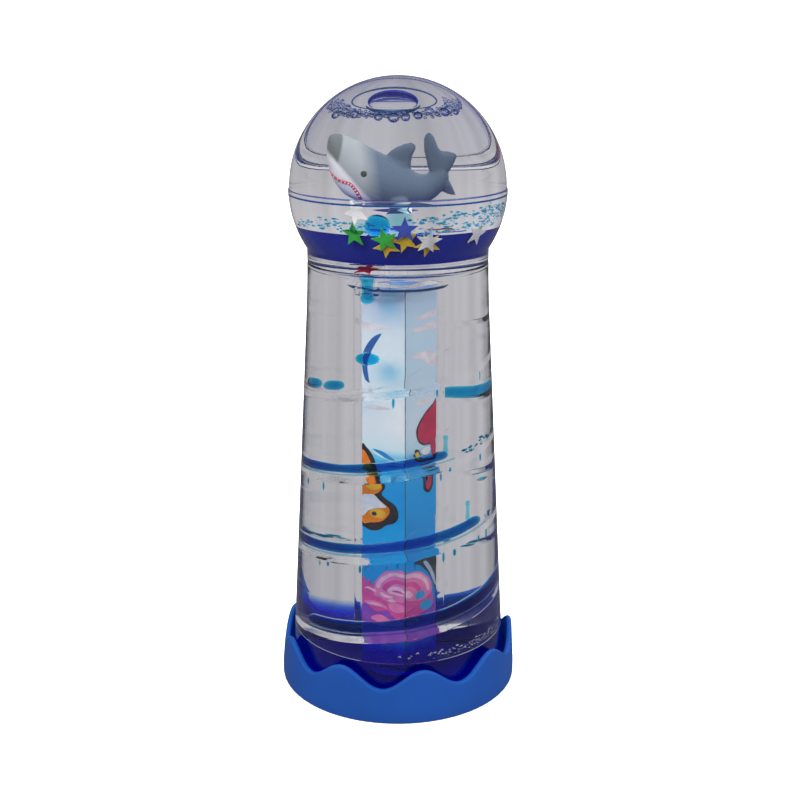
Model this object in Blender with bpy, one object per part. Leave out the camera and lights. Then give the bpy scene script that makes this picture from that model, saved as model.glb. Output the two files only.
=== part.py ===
"""A liquid-motion tower toy, modelled as an assembly of separate pieces.

A clear tapered tube of clear oil stands in a wavy base. Inside it a spiral ramp winds round a
square picture column, and blue liquid drips from a nozzle and runs down the ramp. A clear globe
on top holds more blue liquid, foil stars and a floating shark.

Lengths are metres and +Z is up. The origin is the centre of the base's underside, and the front
faces -Y. Angles round the tower are in degrees from the front, growing towards +X, so the ramp,
which rises with the angle, is right-handed.
"""

import math

import bmesh
import bpy
from mathutils import Matrix, Vector

MM = 0.001
GAP = 0.3 * MM                      # clearance between neighbouring pieces
TINY = 0.001 * MM                   # points closer than this are one point
ROUND_STEPS = 48                    # segments in a full turn of the large round pieces
SMALL_STEPS = 20                    # segments in a full turn of the small round pieces
SHARP_ANGLE = 40.0                  # edges that turn further than this stay sharp, in degrees

# Base
BASE_FOOT_RADIUS = 32.3 * MM
BASE_RIM_RADIUS = 31.8 * MM
BASE_WALL = 1.5 * MM
BASE_FLOOR = 2.2 * MM
WAVE_COUNT = 9
WAVE_CREST = 14.8 * MM
WAVE_TROUGH = 9.5 * MM
WAVE_FIRST_CREST = 12.0             # degrees
WAVE_STEPS = 12                     # segments in one wave
WAVE_ROOT = 3.6 * MM                # the wall is round and level below this height

# Tube
TUBE_FOOT = BASE_FLOOR + GAP
TUBE_TOP = 116.4 * MM
TUBE_WALL = 1.9 * MM
TUBE_SHOULDER = 17.1 * MM           # the taper changes here and at the collar
TUBE_COLLAR = 108.1 * MM
TUBE_FOOT_RADIUS = 29.5 * MM
TUBE_SHOULDER_RADIUS = 28.65 * MM
TUBE_COLLAR_RADIUS = 23.6 * MM
TUBE_TOP_RADIUS = 23.4 * MM
FLOOR_BOTTOM = 4.2 * MM
FLOOR_TOP = 6.0 * MM
FILL_HOLE_RADIUS = 3.0 * MM

# Picture column
COLUMN_SIDE = 12.4 * MM
COLUMN_WALL = 1.1 * MM
COLUMN_TOP = 110.5 * MM
COLUMN_CAP_TOP = 111.7 * MM
COLUMN_EDGE_ANGLE = 12.0            # the column's front edge, in degrees from the front
CARD_THICKNESS = 0.4 * MM

# Spiral ramp
RAMP_PITCH = 21.6 * MM
RAMP_FRONT_HEIGHT = 22.9 * MM       # its lowest pass across the front
RAMP_THICKNESS = 2.0 * MM
RAMP_STEP = 15.0                    # degrees between stations; divides a quarter turn
RAMP_STEPS_BELOW_EDGE = 7           # stations from the column's front edge down to the lower end
RAMP_STEPS_ABOVE_EDGE = 84

# Globe
GLOBE_CENTRE = 135.0 * MM
GLOBE_RADIUS = 27.9 * MM
DOME_RADIUS = 27.65 * MM
GLOBE_INNER_RADIUS = 26.0 * MM
SEAM = 133.8 * MM
SEAM_LIP = 1.2 * MM
NECK_RADIUS = 23.4 * MM
SPIGOT_BOTTOM = 114.7 * MM
BORE_RADIUS = 19.6 * MM
PLATE_BOTTOM = 115.7 * MM
PLATE_TOP = 118.1 * MM

# Nozzles under the neck plate
NOZZLE_DISTANCE = 13.0 * MM         # from the tower's axis
DRIP_ANGLE = -30.0
RETURN_ANGLE = 180.0
FUNNEL_RADIUS = 3.9 * MM            # the plate's hole over the drip nozzle
FUNNEL_FOOT_RADIUS = 2.0 * MM       # the drip nozzle's bore at its flange
DRIP_HOLE_RADIUS = 1.5 * MM         # the drip nozzle's bore at its tip
DRIP_TIP = 110.0 * MM
COLLAR_RADIUS = 2.8 * MM
COLLAR_HEIGHT = 1.6 * MM
FLANGE_HEIGHT = 0.8 * MM
FLANGE_WIDTH = 1.4 * MM             # the return nozzle's flange past its bore
FLANGE_LAP = 0.8 * MM               # the drip nozzle's flange past the plate's hole
PENDANT_DROP_RADIUS = 1.4 * MM
RETURN_TIP = 111.3 * MM
RETURN_HOLE_RADIUS = 1.3 * MM

# Liquids
POOL_TOP = 126.6 * MM
POOL_RADIUS = 23.8 * MM             # sphere about the globe's centre, inside the ring of stars
RESERVOIR_TOP = 14.7 * MM
FALLING_DROP_HEIGHT = 93.5 * MM
FALLING_DROP_RADIUS = 2.7 * MM
FALLING_DROP_SQUASH = 0.6
DRIP_RADIUS = 0.65 * MM
DRIP_CLEARANCE = 0.5 * MM           # a drip's foot above the ramp
DRIP_FROM_WALL = 6.6 * MM           # a drip's axis to the tube's inner wall
SLUG_FROM_WALL = 3.0 * MM           # a slug's centre line to the tube's inner wall
SLUG_STEP = 8.0                     # degrees between a slug's sections
SLUG_SIDES = 8
SLUG_END = 0.35                     # a slug's end section over its full section

# name, angle along the ramp, height of the top
DRIPS = (
    ("upper_drip", 758.5, 73.8 * MM),
    ("lower_drip", 418.0, 54.6 * MM),
)
# name, first and last angle along the ramp, half its width, half its height
SLUGS = (
    ("ramp_slug_1", -64.0, 150.0, 2.6 * MM, 1.6 * MM),
    ("ramp_slug_2", 265.0, 420.0, 2.4 * MM, 1.45 * MM),
    ("ramp_slug_3", 627.0, 754.0, 2.2 * MM, 1.35 * MM),
    ("ramp_bead_1", 868.0, 888.0, 2.1 * MM, 1.8 * MM),
    ("ramp_bead_2", 1000.0, 1018.0, 2.1 * MM, 1.6 * MM),
    ("ramp_bead_3", 1023.0, 1041.0, 2.1 * MM, 1.5 * MM),
)

# Shark and stars
SHARK_CENTRE = Vector((0.0, 0.0, 136.7)) * MM
STAR_RADIUS = 3.3 * MM
STAR_WAIST = 0.42                   # inner radius over outer radius
STAR_THICKNESS = 0.25 * MM
OUTER_LAYER = 25.4 * MM             # distances of the stars from the globe's centre
MIDDLE_LAYER = 24.9 * MM
INNER_LAYER = 24.4 * MM

# name, colour, angle from the front, degrees below the globe's equator, layer, turn in its plane
WALL_STARS = (
    ("star_white", "silver", -22.5, 6.8, OUTER_LAYER, 170.0),
    ("star_green_left", "green", -25.0, 18.9, OUTER_LAYER, 0.0),
    ("star_green_front", "green", -7.3, 21.5, OUTER_LAYER, 14.0),
    ("star_gold_left", "gold", -6.7, 25.8, MIDDLE_LAYER, 30.0),
    ("star_blue", "blue", 3.7, 16.1, MIDDLE_LAYER, 0.0),
    ("star_gold_middle", "gold", 4.3, 22.9, INNER_LAYER, 20.0),
    ("star_silver_front", "silver", 17.5, 22.8, OUTER_LAYER, -8.0),
    ("star_gold_right", "gold", 17.9, 25.2, MIDDLE_LAYER, 28.0),
    ("star_silver_right", "silver", 50.5, 20.6, OUTER_LAYER, -14.0),
)

FUNNEL_STAR_HEIGHT = 117.1 * MM

# name, colour, angle, distance from the axis, height: stars that lie flat on the pool
FLAT_STARS = (
    ("star_red_flat", "red", 27.0, 21.0 * MM, 128.0 * MM),
    ("star_blue_flat", "blue", 37.0, 21.0 * MM, 127.2 * MM),
)


# ---------------------------------------------------------------- helpers

def clear_scene():
    for item in list(bpy.data.objects):
        bpy.data.objects.remove(item, do_unlink=True)


def finish(name, colour, roughness=0.3, metallic=0.0, transmission=0.0):
    """Make a Principled material."""
    material = bpy.data.materials.new(name)
    material.use_nodes = True
    shader = material.node_tree.nodes["Principled BSDF"]
    shader.inputs["Base Color"].default_value = (*colour, 1.0)
    shader.inputs["Roughness"].default_value = roughness
    shader.inputs["Metallic"].default_value = metallic
    shader.inputs["Transmission Weight"].default_value = transmission
    material.diffuse_color = (*colour, 1.0 - 0.7 * transmission)
    return material


def add_object(name, shape, material):
    """Turn a bmesh into an object with its faces pointing out and its round faces smooth."""
    bmesh.ops.recalc_face_normals(shape, faces=shape.faces)
    mesh = bpy.data.meshes.new(name)
    shape.to_mesh(mesh)
    shape.free()
    mesh.shade_smooth()
    mesh.set_sharp_from_angle(angle=math.radians(SHARP_ANGLE))
    mesh.materials.append(material)
    item = bpy.data.objects.new(name, mesh)
    bpy.context.scene.collection.objects.link(item)
    return item


def around(radius, angle, height):
    """The point at a radius, an angle from the front in degrees, and a height."""
    turn = math.radians(angle)
    return Vector((radius * math.sin(turn), -radius * math.cos(turn), height))


def arc(centre, radius, start, end, steps):
    """Points (radius, height) on a circle centred on the axis, from start to end in degrees."""
    points = []
    for step in range(steps + 1):
        angle = math.radians(start + (end - start) * step / steps)
        points.append((radius * math.cos(angle), centre + radius * math.sin(angle)))
    return points


def elevation(height, radius):
    """Where a sphere about the globe's centre passes a height, in degrees above its equator."""
    return math.degrees(math.asin((height - GLOBE_CENTRE) / radius))


def elevation_at(distance, radius):
    """Where a sphere about the globe's centre, below its equator, passes a distance from the axis."""
    return -math.degrees(math.acos(distance / radius))


def revolve(name, outline, material, steps=ROUND_STEPS):
    """Spin an outline of (radius, height) points about Z.

    An outline that starts and ends on the axis makes a solid or a cap; any other is closed first
    and makes a ring.
    """
    shape = bmesh.new()
    points = [shape.verts.new((radius, 0.0, height)) for radius, height in outline]
    edges = [shape.edges.new(pair) for pair in zip(points, points[1:])]
    if outline[0][0] > TINY:
        edges.append(shape.edges.new((points[-1], points[0])))
    bmesh.ops.spin(shape, geom=points + edges, cent=(0, 0, 0), axis=(0, 0, 1),
                   angle=math.tau, steps=steps, use_merge=True)
    bmesh.ops.remove_doubles(shape, verts=shape.verts, dist=TINY)
    return add_object(name, shape, material)


def sweep(name, rings, material, loop=False):
    """Join rings of points, one after another, into one solid.

    The two end rings are capped, or joined to each other in a loop.
    """
    shape = bmesh.new()
    rows = [[shape.verts.new(point) for point in ring] for ring in rings]
    joins = list(zip(rows, rows[1:]))
    if loop:
        joins.append((rows[-1], rows[0]))
    else:
        shape.faces.new(rows[0][::-1])
        shape.faces.new(rows[-1])
    for row, following in joins:
        for index in range(len(row)):
            beside = (index + 1) % len(row)
            shape.faces.new((row[index], row[beside], following[beside], following[index]))
    return add_object(name, shape, material)


def round_edges(item, width, segments=2):
    """Round an object's edges."""
    bevel = item.modifiers.new("rounded_edges", "BEVEL")
    bevel.width = width
    bevel.segments = segments
    bevel.limit_method = "ANGLE"
    bevel.angle_limit = math.radians(50.0)


def combine(item, other, operation):
    """Union an object with a helper, or cut the helper from it; the helper stays hidden."""
    boolean = item.modifiers.new(other.name, "BOOLEAN")
    boolean.object = other
    boolean.operation = operation
    boolean.solver = "EXACT"
    other.hide_render = True
    other.display_type = "WIRE"


def tube_radius(height):
    """The tube's outer radius at a height: straight tapers between four given sections."""
    sections = [(TUBE_FOOT, TUBE_FOOT_RADIUS), (TUBE_SHOULDER, TUBE_SHOULDER_RADIUS),
                (TUBE_COLLAR, TUBE_COLLAR_RADIUS), (TUBE_TOP, TUBE_TOP_RADIUS)]
    for (low, low_radius), (high, high_radius) in zip(sections, sections[1:]):
        if height <= high:
            share = (height - low) / (high - low)
            return low_radius + (high_radius - low_radius) * share
    return TUBE_TOP_RADIUS


def ramp_height(angle):
    """The ramp's upper face at an angle; each further 360 degrees is one turn higher."""
    return RAMP_FRONT_HEIGHT + RAMP_PITCH * angle / 360.0


def square(side, height):
    """The corners of a level square round the axis, turned to the picture column."""
    return [around(side / math.sqrt(2.0), COLUMN_EDGE_ANGLE + quarter * 90.0, height)
            for quarter in range(4)]


# ---------------------------------------------------------------- outer pieces

def wave_height(angle):
    """The height of the base's rim at an angle in degrees."""
    middle = (WAVE_CREST + WAVE_TROUGH) / 2.0
    swing = (WAVE_CREST - WAVE_TROUGH) / 2.0
    return middle + swing * math.cos(math.radians(WAVE_COUNT * (angle - WAVE_FIRST_CREST)))


def make_base(material):
    """A cup with a floor and a wall whose rim rises and falls in waves."""
    inner_radius = BASE_RIM_RADIUS - BASE_WALL
    rounding = 0.5 * MM
    outline = [
        (0.0, 0.0), (BASE_FOOT_RADIUS - 2 * rounding, 0.0), (BASE_FOOT_RADIUS, 2 * rounding),
        (BASE_FOOT_RADIUS, WAVE_ROOT),
        (BASE_RIM_RADIUS, WAVE_CREST - rounding), (BASE_RIM_RADIUS - rounding, WAVE_CREST),
        (inner_radius + rounding, WAVE_CREST), (inner_radius, WAVE_CREST - rounding),
        (inner_radius, WAVE_ROOT), (inner_radius, BASE_FLOOR), (0.0, BASE_FLOOR),
    ]
    base = revolve("wave_base", outline, material, steps=WAVE_COUNT * WAVE_STEPS)
    for point in base.data.vertices:
        share = max(0.0, (point.co.z - WAVE_ROOT) / (WAVE_CREST - WAVE_ROOT))
        angle = math.degrees(math.atan2(point.co.x, -point.co.y))
        point.co.z += share * (wave_height(angle) - WAVE_CREST)


def make_tube(material):
    """The open tapered tube that holds the oil."""
    heights = [TUBE_FOOT, TUBE_SHOULDER, TUBE_COLLAR, TUBE_TOP]
    outer = [(tube_radius(height), height) for height in heights]
    inner = [(tube_radius(height) - TUBE_WALL, height) for height in reversed(heights)]
    revolve("tube_shell", outer + inner, material)


def make_tube_floor(clear, rubber):
    """The disc that closes the tube's foot, with its fill hole and the plug pushed into it."""
    disc_radius = tube_radius(FLOOR_TOP) - TUBE_WALL - GAP
    revolve("tube_floor", [(FILL_HOLE_RADIUS, FLOOR_BOTTOM), (disc_radius, FLOOR_BOTTOM),
                           (disc_radius, FLOOR_TOP), (FILL_HOLE_RADIUS, FLOOR_TOP)], clear)
    stem_radius = FILL_HOLE_RADIUS - GAP
    head_radius = FILL_HOLE_RADIUS + 2.0 * MM
    head_bottom = BASE_FLOOR + 2 * GAP
    head_top = FLOOR_BOTTOM - GAP
    revolve("fill_plug", [(0.0, head_bottom), (head_radius, head_bottom), (head_radius, head_top),
                          (stem_radius, head_top), (stem_radius, FLOOR_TOP),
                          (0.0, FLOOR_TOP)], rubber, steps=SMALL_STEPS)


def make_globe_bowl(material):
    """The globe's lower half, with the neck and the spigot that plugs into the tube."""
    rim = SEAM - GAP / 2
    neck_bottom = TUBE_TOP + GAP
    spigot_radius = TUBE_TOP_RADIUS - TUBE_WALL - GAP
    outer = arc(GLOBE_CENTRE, GLOBE_RADIUS, elevation(rim, GLOBE_RADIUS),
                elevation_at(NECK_RADIUS, GLOBE_RADIUS), 8)
    neck = [(NECK_RADIUS, neck_bottom), (spigot_radius, neck_bottom),
            (spigot_radius, SPIGOT_BOTTOM), (BORE_RADIUS, SPIGOT_BOTTOM)]
    inner = arc(GLOBE_CENTRE, GLOBE_INNER_RADIUS, elevation_at(BORE_RADIUS, GLOBE_INNER_RADIUS),
                elevation(rim, GLOBE_INNER_RADIUS), 8)
    revolve("globe_bowl", outer + neck + inner, material)


def make_globe_dome(material):
    """The globe's upper half, with the raised lip along its seam."""
    rim = SEAM + GAP / 2
    lip_top = SEAM + SEAM_LIP
    inner = arc(GLOBE_CENTRE, GLOBE_INNER_RADIUS, 90.0, elevation(rim, GLOBE_INNER_RADIUS), 10)
    lip = [(GLOBE_RADIUS, rim), (GLOBE_RADIUS, lip_top)]
    outer = arc(GLOBE_CENTRE, DOME_RADIUS, elevation(lip_top, DOME_RADIUS), 90.0, 10)
    revolve("globe_dome", inner + lip + outer, material)


# ---------------------------------------------------------------- neck and nozzles

def make_neck_plate(material):
    """The disc between the globe and the tube, bored for the drip and the return nozzle."""
    radius = BORE_RADIUS - GAP
    plate = revolve("neck_plate", [(0.0, PLATE_BOTTOM), (radius, PLATE_BOTTOM),
                                   (radius, PLATE_TOP), (0.0, PLATE_TOP)], material)
    for angle, hole_radius in ((DRIP_ANGLE, FUNNEL_RADIUS), (RETURN_ANGLE, RETURN_HOLE_RADIUS)):
        overshoot = 1.0 * MM
        cutter = revolve("plate_hole_cutter",
                         [(0.0, PLATE_BOTTOM - overshoot), (hole_radius, PLATE_BOTTOM - overshoot),
                          (hole_radius, PLATE_TOP + overshoot), (0.0, PLATE_TOP + overshoot)],
                         material, steps=SMALL_STEPS)
        cutter.location = around(NOZZLE_DISTANCE, angle, 0.0)
        combine(plate, cutter, "DIFFERENCE")


def make_nozzles(clear):
    """The conical drip nozzle with its collar, and the plain return nozzle."""
    flange_top = PLATE_BOTTOM - GAP
    flange_bottom = flange_top - FLANGE_HEIGHT
    flange_radius = FUNNEL_RADIUS + FLANGE_LAP
    collar_top = DRIP_TIP + COLLAR_HEIGHT
    wall = 0.7 * MM
    drip_outline = [
        (FUNNEL_FOOT_RADIUS, flange_top), (DRIP_HOLE_RADIUS, collar_top),
        (DRIP_HOLE_RADIUS, DRIP_TIP), (COLLAR_RADIUS, DRIP_TIP), (COLLAR_RADIUS, collar_top),
        (DRIP_HOLE_RADIUS + wall, collar_top), (FUNNEL_FOOT_RADIUS + wall, flange_bottom),
        (flange_radius, flange_bottom), (flange_radius, flange_top),
    ]
    drip = revolve("drip_nozzle", drip_outline, clear, steps=SMALL_STEPS)
    drip.location = around(NOZZLE_DISTANCE, DRIP_ANGLE, 0.0)

    outer_radius = RETURN_HOLE_RADIUS + wall
    flange_radius = RETURN_HOLE_RADIUS + FLANGE_WIDTH
    return_outline = [
        (RETURN_HOLE_RADIUS, flange_top), (RETURN_HOLE_RADIUS, RETURN_TIP),
        (outer_radius, RETURN_TIP), (outer_radius, flange_bottom),
        (flange_radius, flange_bottom), (flange_radius, flange_top),
    ]
    back = revolve("return_nozzle", return_outline, clear, steps=SMALL_STEPS)
    back.location = around(NOZZLE_DISTANCE, RETURN_ANGLE, 0.0)


# ---------------------------------------------------------------- picture column and ramp

def square_sleeve(name, side, wall, bottom, top, material):
    """An open square tube turned to the picture column."""
    inner_side = side - 2 * wall
    rings = [square(side, bottom), square(side, top),
             square(inner_side, top), square(inner_side, bottom)]
    sweep(name, rings, material, loop=True)


def make_column(clear, card):
    """The clear square column, the printed card folded inside it, and its cap."""
    foot = FLOOR_TOP + GAP
    square_sleeve("picture_column", COLUMN_SIDE, COLUMN_WALL, foot, COLUMN_TOP, clear)
    card_side = COLUMN_SIDE - 2 * COLUMN_WALL - 2 * GAP
    square_sleeve("picture_card", card_side, CARD_THICKNESS, foot, COLUMN_TOP - GAP, card)
    cap = sweep("column_cap", [square(COLUMN_SIDE, COLUMN_TOP + GAP),
                               square(COLUMN_SIDE, COLUMN_CAP_TOP)], clear)
    round_edges(cap, 0.4 * MM)


def column_distance(angle, clearance):
    """How far the column's outside is from the axis at an angle, plus a clearance."""
    from_face = (angle - COLUMN_EDGE_ANGLE) % 90.0 - 45.0
    return (COLUMN_SIDE / 2 + clearance) / math.cos(math.radians(from_face))


def make_ramp(material):
    """The spiral shelf that fills the space between the column and the tube."""
    rings = []
    for station in range(-RAMP_STEPS_BELOW_EDGE, RAMP_STEPS_ABOVE_EDGE + 1):
        angle = COLUMN_EDGE_ANGLE + station * RAMP_STEP
        top = ramp_height(angle)
        bottom = top - RAMP_THICKNESS
        near = column_distance(angle, GAP)
        far = tube_radius(top) - TUBE_WALL - GAP
        rings.append([around(near, angle, top), around(far, angle, top),
                      around(far, angle, bottom), around(near, angle, bottom)])
    sweep("spiral_ramp", rings, material)


# ---------------------------------------------------------------- liquids

def make_pools(material):
    """The blue layer in the globe and the blue reservoir at the tube's foot."""
    bottom = PLATE_TOP + 2 * GAP
    side = arc(GLOBE_CENTRE, POOL_RADIUS, elevation(bottom, POOL_RADIUS),
               elevation(POOL_TOP, POOL_RADIUS), 6)
    revolve("globe_pool", [(0.0, bottom)] + side + [(0.0, POOL_TOP)], material)

    floor = FLOOR_TOP + GAP
    low_radius = tube_radius(floor) - TUBE_WALL - GAP
    high_radius = tube_radius(RESERVOIR_TOP) - TUBE_WALL - GAP
    reservoir = revolve("reservoir_pool", [(0.0, floor), (low_radius, floor),
                                           (high_radius, RESERVOIR_TOP), (0.0, RESERVOIR_TOP)],
                        material)
    hole = COLUMN_SIDE + 2 * GAP
    overshoot = 1.0 * MM
    cutter = sweep("reservoir_column_cutter",
                   [square(hole, floor - overshoot), square(hole, RESERVOIR_TOP + overshoot)],
                   material)
    combine(reservoir, cutter, "DIFFERENCE")


def make_drops(material):
    """The stream in the nozzle with its hanging drop, the falling drop, and two falling drips."""
    neck_radius = DRIP_HOLE_RADIUS - GAP
    drop_centre = DRIP_TIP - 1.0 * MM
    drop_start = math.degrees(math.acos(neck_radius / PENDANT_DROP_RADIUS))
    drop = arc(drop_centre, PENDANT_DROP_RADIUS, drop_start, -90.0, 8)
    stream_top = PLATE_BOTTOM - 2 * GAP
    outline = [(0.0, stream_top), (FUNNEL_FOOT_RADIUS - 1.5 * GAP, stream_top),
               (neck_radius, DRIP_TIP + COLLAR_HEIGHT)] + drop
    stream = revolve("nozzle_stream", outline, material, steps=SMALL_STEPS)
    stream.location = around(NOZZLE_DISTANCE, DRIP_ANGLE, 0.0)

    profile = [(radius, height * FALLING_DROP_SQUASH)
               for radius, height in arc(0.0, FALLING_DROP_RADIUS, 90.0, -90.0, 10)]
    drop = revolve("falling_drop", profile, material, steps=SMALL_STEPS)
    drop.location = around(NOZZLE_DISTANCE, DRIP_ANGLE, FALLING_DROP_HEIGHT)

    for name, angle, top in DRIPS:
        foot = ramp_height(angle) + DRIP_CLEARANCE
        low = arc(DRIP_RADIUS, DRIP_RADIUS, -90.0, 0.0, 3)
        high = arc(top - foot - DRIP_RADIUS, DRIP_RADIUS, 0.0, 90.0, 3)
        drip = revolve(name, low + high, material, steps=SMALL_STEPS)
        drip.location = around(tube_radius(top) - TUBE_WALL - DRIP_FROM_WALL, angle, foot)


def make_slug(name, start, end, half_width, half_height, material):
    """A length of blue liquid lying on the ramp, rounded at both ends."""
    sections = max(5, round((end - start) / SLUG_STEP))
    rings = []
    for section in range(sections + 1):
        angle = start + (end - start) * section / sections
        height = ramp_height(angle) + GAP + half_height
        distance = tube_radius(height) - TUBE_WALL - SLUG_FROM_WALL
        from_end = distance * math.radians(min(angle - start, end - angle)) / half_width
        fullness = max(SLUG_END, math.sqrt(1.0 - max(0.0, 1.0 - from_end) ** 2))
        ring = []
        for side in range(SLUG_SIDES):
            turn = math.tau * side / SLUG_SIDES
            ring.append(around(distance + fullness * half_width * math.cos(turn), angle,
                               height + fullness * half_height * math.sin(turn)))
        rings.append(ring)
    sweep(name, rings, material)


# ---------------------------------------------------------------- shark and stars

def tube_along(path, sides):
    """Rings of points round a path of (centre, half height, half width) sections.

    The path runs in the XZ plane and the rings stand square to it.
    """
    rings = []
    for index, (centre, half_height, half_width) in enumerate(path):
        before = path[max(index - 1, 0)][0]
        after = path[min(index + 1, len(path) - 1)][0]
        along = (after - before).normalized()
        across = Vector((0.0, 1.0, 0.0))
        upward = along.cross(across).normalized()
        ring = []
        for side in range(sides):
            turn = math.tau * (side + 0.5) / sides
            ring.append(centre + across * half_width * math.cos(turn)
                        + upward * half_height * math.sin(turn))
        rings.append(ring)
    return rings


def make_fin(name, outline, half_thickness, material, turn):
    """A flat fin with a given outline in its own XZ plane, turned into place."""
    rings = []
    for side, inset in ((-1.0, 0.55), (0.0, 1.0), (1.0, 0.55)):
        middle = sum((Vector(point) for point in outline), Vector((0.0, 0.0))) / len(outline)
        ring = []
        for point in outline:
            flat = middle + (Vector(point) - middle) * inset
            ring.append(turn @ Vector((flat.x, side * half_thickness, flat.y)))
        rings.append(ring)
    return sweep(name, rings, material)


def make_shark(material):
    """A small soft-plastic shark with its head and tail raised."""
    sections = (
        # along X, height from the shark's centre, half height, half width, all in millimetres
        (-12.3, 5.6, 1.2, 1.2), (-11.2, 4.7, 2.8, 2.6), (-8.8, 2.6, 4.0, 3.7),
        (-5.4, 0.2, 4.7, 4.4), (-1.6, -1.6, 4.7, 4.5), (2.2, -2.8, 3.8, 3.7),
        (5.4, -2.4, 2.7, 2.5), (7.6, -0.6, 1.8, 1.6), (8.6, 1.2, 1.1, 1.0),
    )
    path = [(Vector((along, 0.0, height)) * MM, half_height * MM, half_width * MM)
            for along, height, half_height, half_width in sections]
    shark = sweep("shark", tube_along(path, 12), material)
    upright = Matrix.Identity(3)
    fins = (
        ("shark_dorsal_fin", ((-3.6, 1.6), (1.4, -0.6), (2.6, 2.6), (3.6, 5.4), (1.6, 5.4)),
         0.7, upright),
        ("shark_tail_fin", ((6.6, -0.6), (8.4, -1.2), (10.6, -2.8), (9.8, 0.8), (11.0, 3.6),
                            (8.8, 4.0), (6.0, 7.4), (6.4, 3.0)), 0.6, upright),
    )
    for name, outline, half_thickness, turn in fins:
        outline = [(along * MM, height * MM) for along, height in outline]
        fin = make_fin(name, outline, half_thickness * MM, material, turn)
        fin.parent = shark
        combine(shark, fin, "UNION")
    for name, side in (("shark_left_fin", -1.0), ("shark_right_fin", 1.0)):
        outline = [(along * MM, height * MM)
                   for along, height in ((-4.0, -2.0), (-0.4, -2.0), (2.6, -8.0), (0.4, -7.6))]
        turn = Matrix.Rotation(math.radians(42.0 * side), 3, "X")
        fin = make_fin(name, outline, 0.7 * MM, material, turn)
        fin.parent = shark
        combine(shark, fin, "UNION")
    shark.location = SHARK_CENTRE


def star_shape(name, material):
    """A flat five-pointed star in its own XY plane, one point towards +Y."""
    rings = []
    for height in (-STAR_THICKNESS / 2, STAR_THICKNESS / 2):
        ring = []
        for corner in range(10):
            radius = STAR_RADIUS if corner % 2 == 0 else STAR_RADIUS * STAR_WAIST
            turn = math.tau * corner / 10
            ring.append(Vector((radius * math.sin(turn), radius * math.cos(turn), height)))
        rings.append(ring)
    return sweep(name, rings, material)


def make_stars(foils):
    """Foil stars against the globe's wall, flat on the pool, and caught in the funnel."""
    for name, colour, angle, below, layer, turn in WALL_STARS:
        star = star_shape(name, foils[colour])
        level = layer * math.cos(math.radians(below))
        star.location = around(level, angle, GLOBE_CENTRE - layer * math.sin(math.radians(below)))
        facing = (Matrix.Rotation(math.radians(angle), 4, "Z")
                  @ Matrix.Rotation(math.radians(90.0 + below), 4, "X")
                  @ Matrix.Rotation(math.radians(turn), 4, "Z"))
        star.rotation_euler = facing.to_euler()
    for name, colour, angle, distance, height in FLAT_STARS:
        star = star_shape(name, foils[colour])
        star.location = around(distance, angle, height)
        star.rotation_euler = (0.0, 0.0, math.radians(angle))
    star = star_shape("star_red_funnel", foils["red"])
    star.location = around(NOZZLE_DISTANCE, DRIP_ANGLE, FUNNEL_STAR_HEIGHT)
    star.rotation_euler = (math.radians(20.0), 0.0, math.radians(DRIP_ANGLE))


# ---------------------------------------------------------------- assembly

def main():
    clear_scene()
    clear = finish("clear_plastic", (0.86, 0.90, 0.92), roughness=0.05, transmission=1.0)
    blue_plastic = finish("blue_plastic", (0.02, 0.12, 0.50), roughness=0.35)
    rubber = finish("plug_rubber", (0.75, 0.76, 0.78), roughness=0.6)
    card = finish("printed_card", (0.45, 0.75, 0.92), roughness=0.5)
    blue_liquid = finish("blue_liquid", (0.01, 0.10, 0.55), roughness=0.05, transmission=0.5)
    shark_grey = finish("shark_grey", (0.32, 0.36, 0.40), roughness=0.45)
    foils = {
        "silver": finish("silver_foil", (0.85, 0.86, 0.90), roughness=0.2, metallic=1.0),
        "gold": finish("gold_foil", (0.90, 0.62, 0.08), roughness=0.2, metallic=1.0),
        "green": finish("green_foil", (0.05, 0.50, 0.12), roughness=0.2, metallic=1.0),
        "blue": finish("blue_foil", (0.05, 0.12, 0.60), roughness=0.2, metallic=1.0),
        "red": finish("red_foil", (0.75, 0.04, 0.05), roughness=0.2, metallic=1.0),
    }

    make_base(blue_plastic)
    make_tube(clear)
    make_tube_floor(clear, rubber)
    make_globe_bowl(clear)
    make_globe_dome(clear)
    make_neck_plate(clear)
    make_nozzles(clear)
    make_column(clear, card)
    make_ramp(clear)
    make_pools(blue_liquid)
    make_drops(blue_liquid)
    for name, start, end, half_width, half_height in SLUGS:
        make_slug(name, start, end, half_width, half_height, blue_liquid)
    make_shark(shark_grey)
    make_stars(foils)


main()
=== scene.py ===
"""The looks of a liquid-motion tower toy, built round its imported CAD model.

The clear shells are remade as smooth walls with an air side and an oil side, and everything
inside them has its refractive index given against the oil. Lengths are metres, +Z is up, and
angles round the tower are in degrees from its front (-Y), growing towards +X.
"""

import math
import random

import bmesh
import bpy
from mathutils import Matrix, Vector, noise
from mathutils.bvhtree import BVHTree


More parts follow.
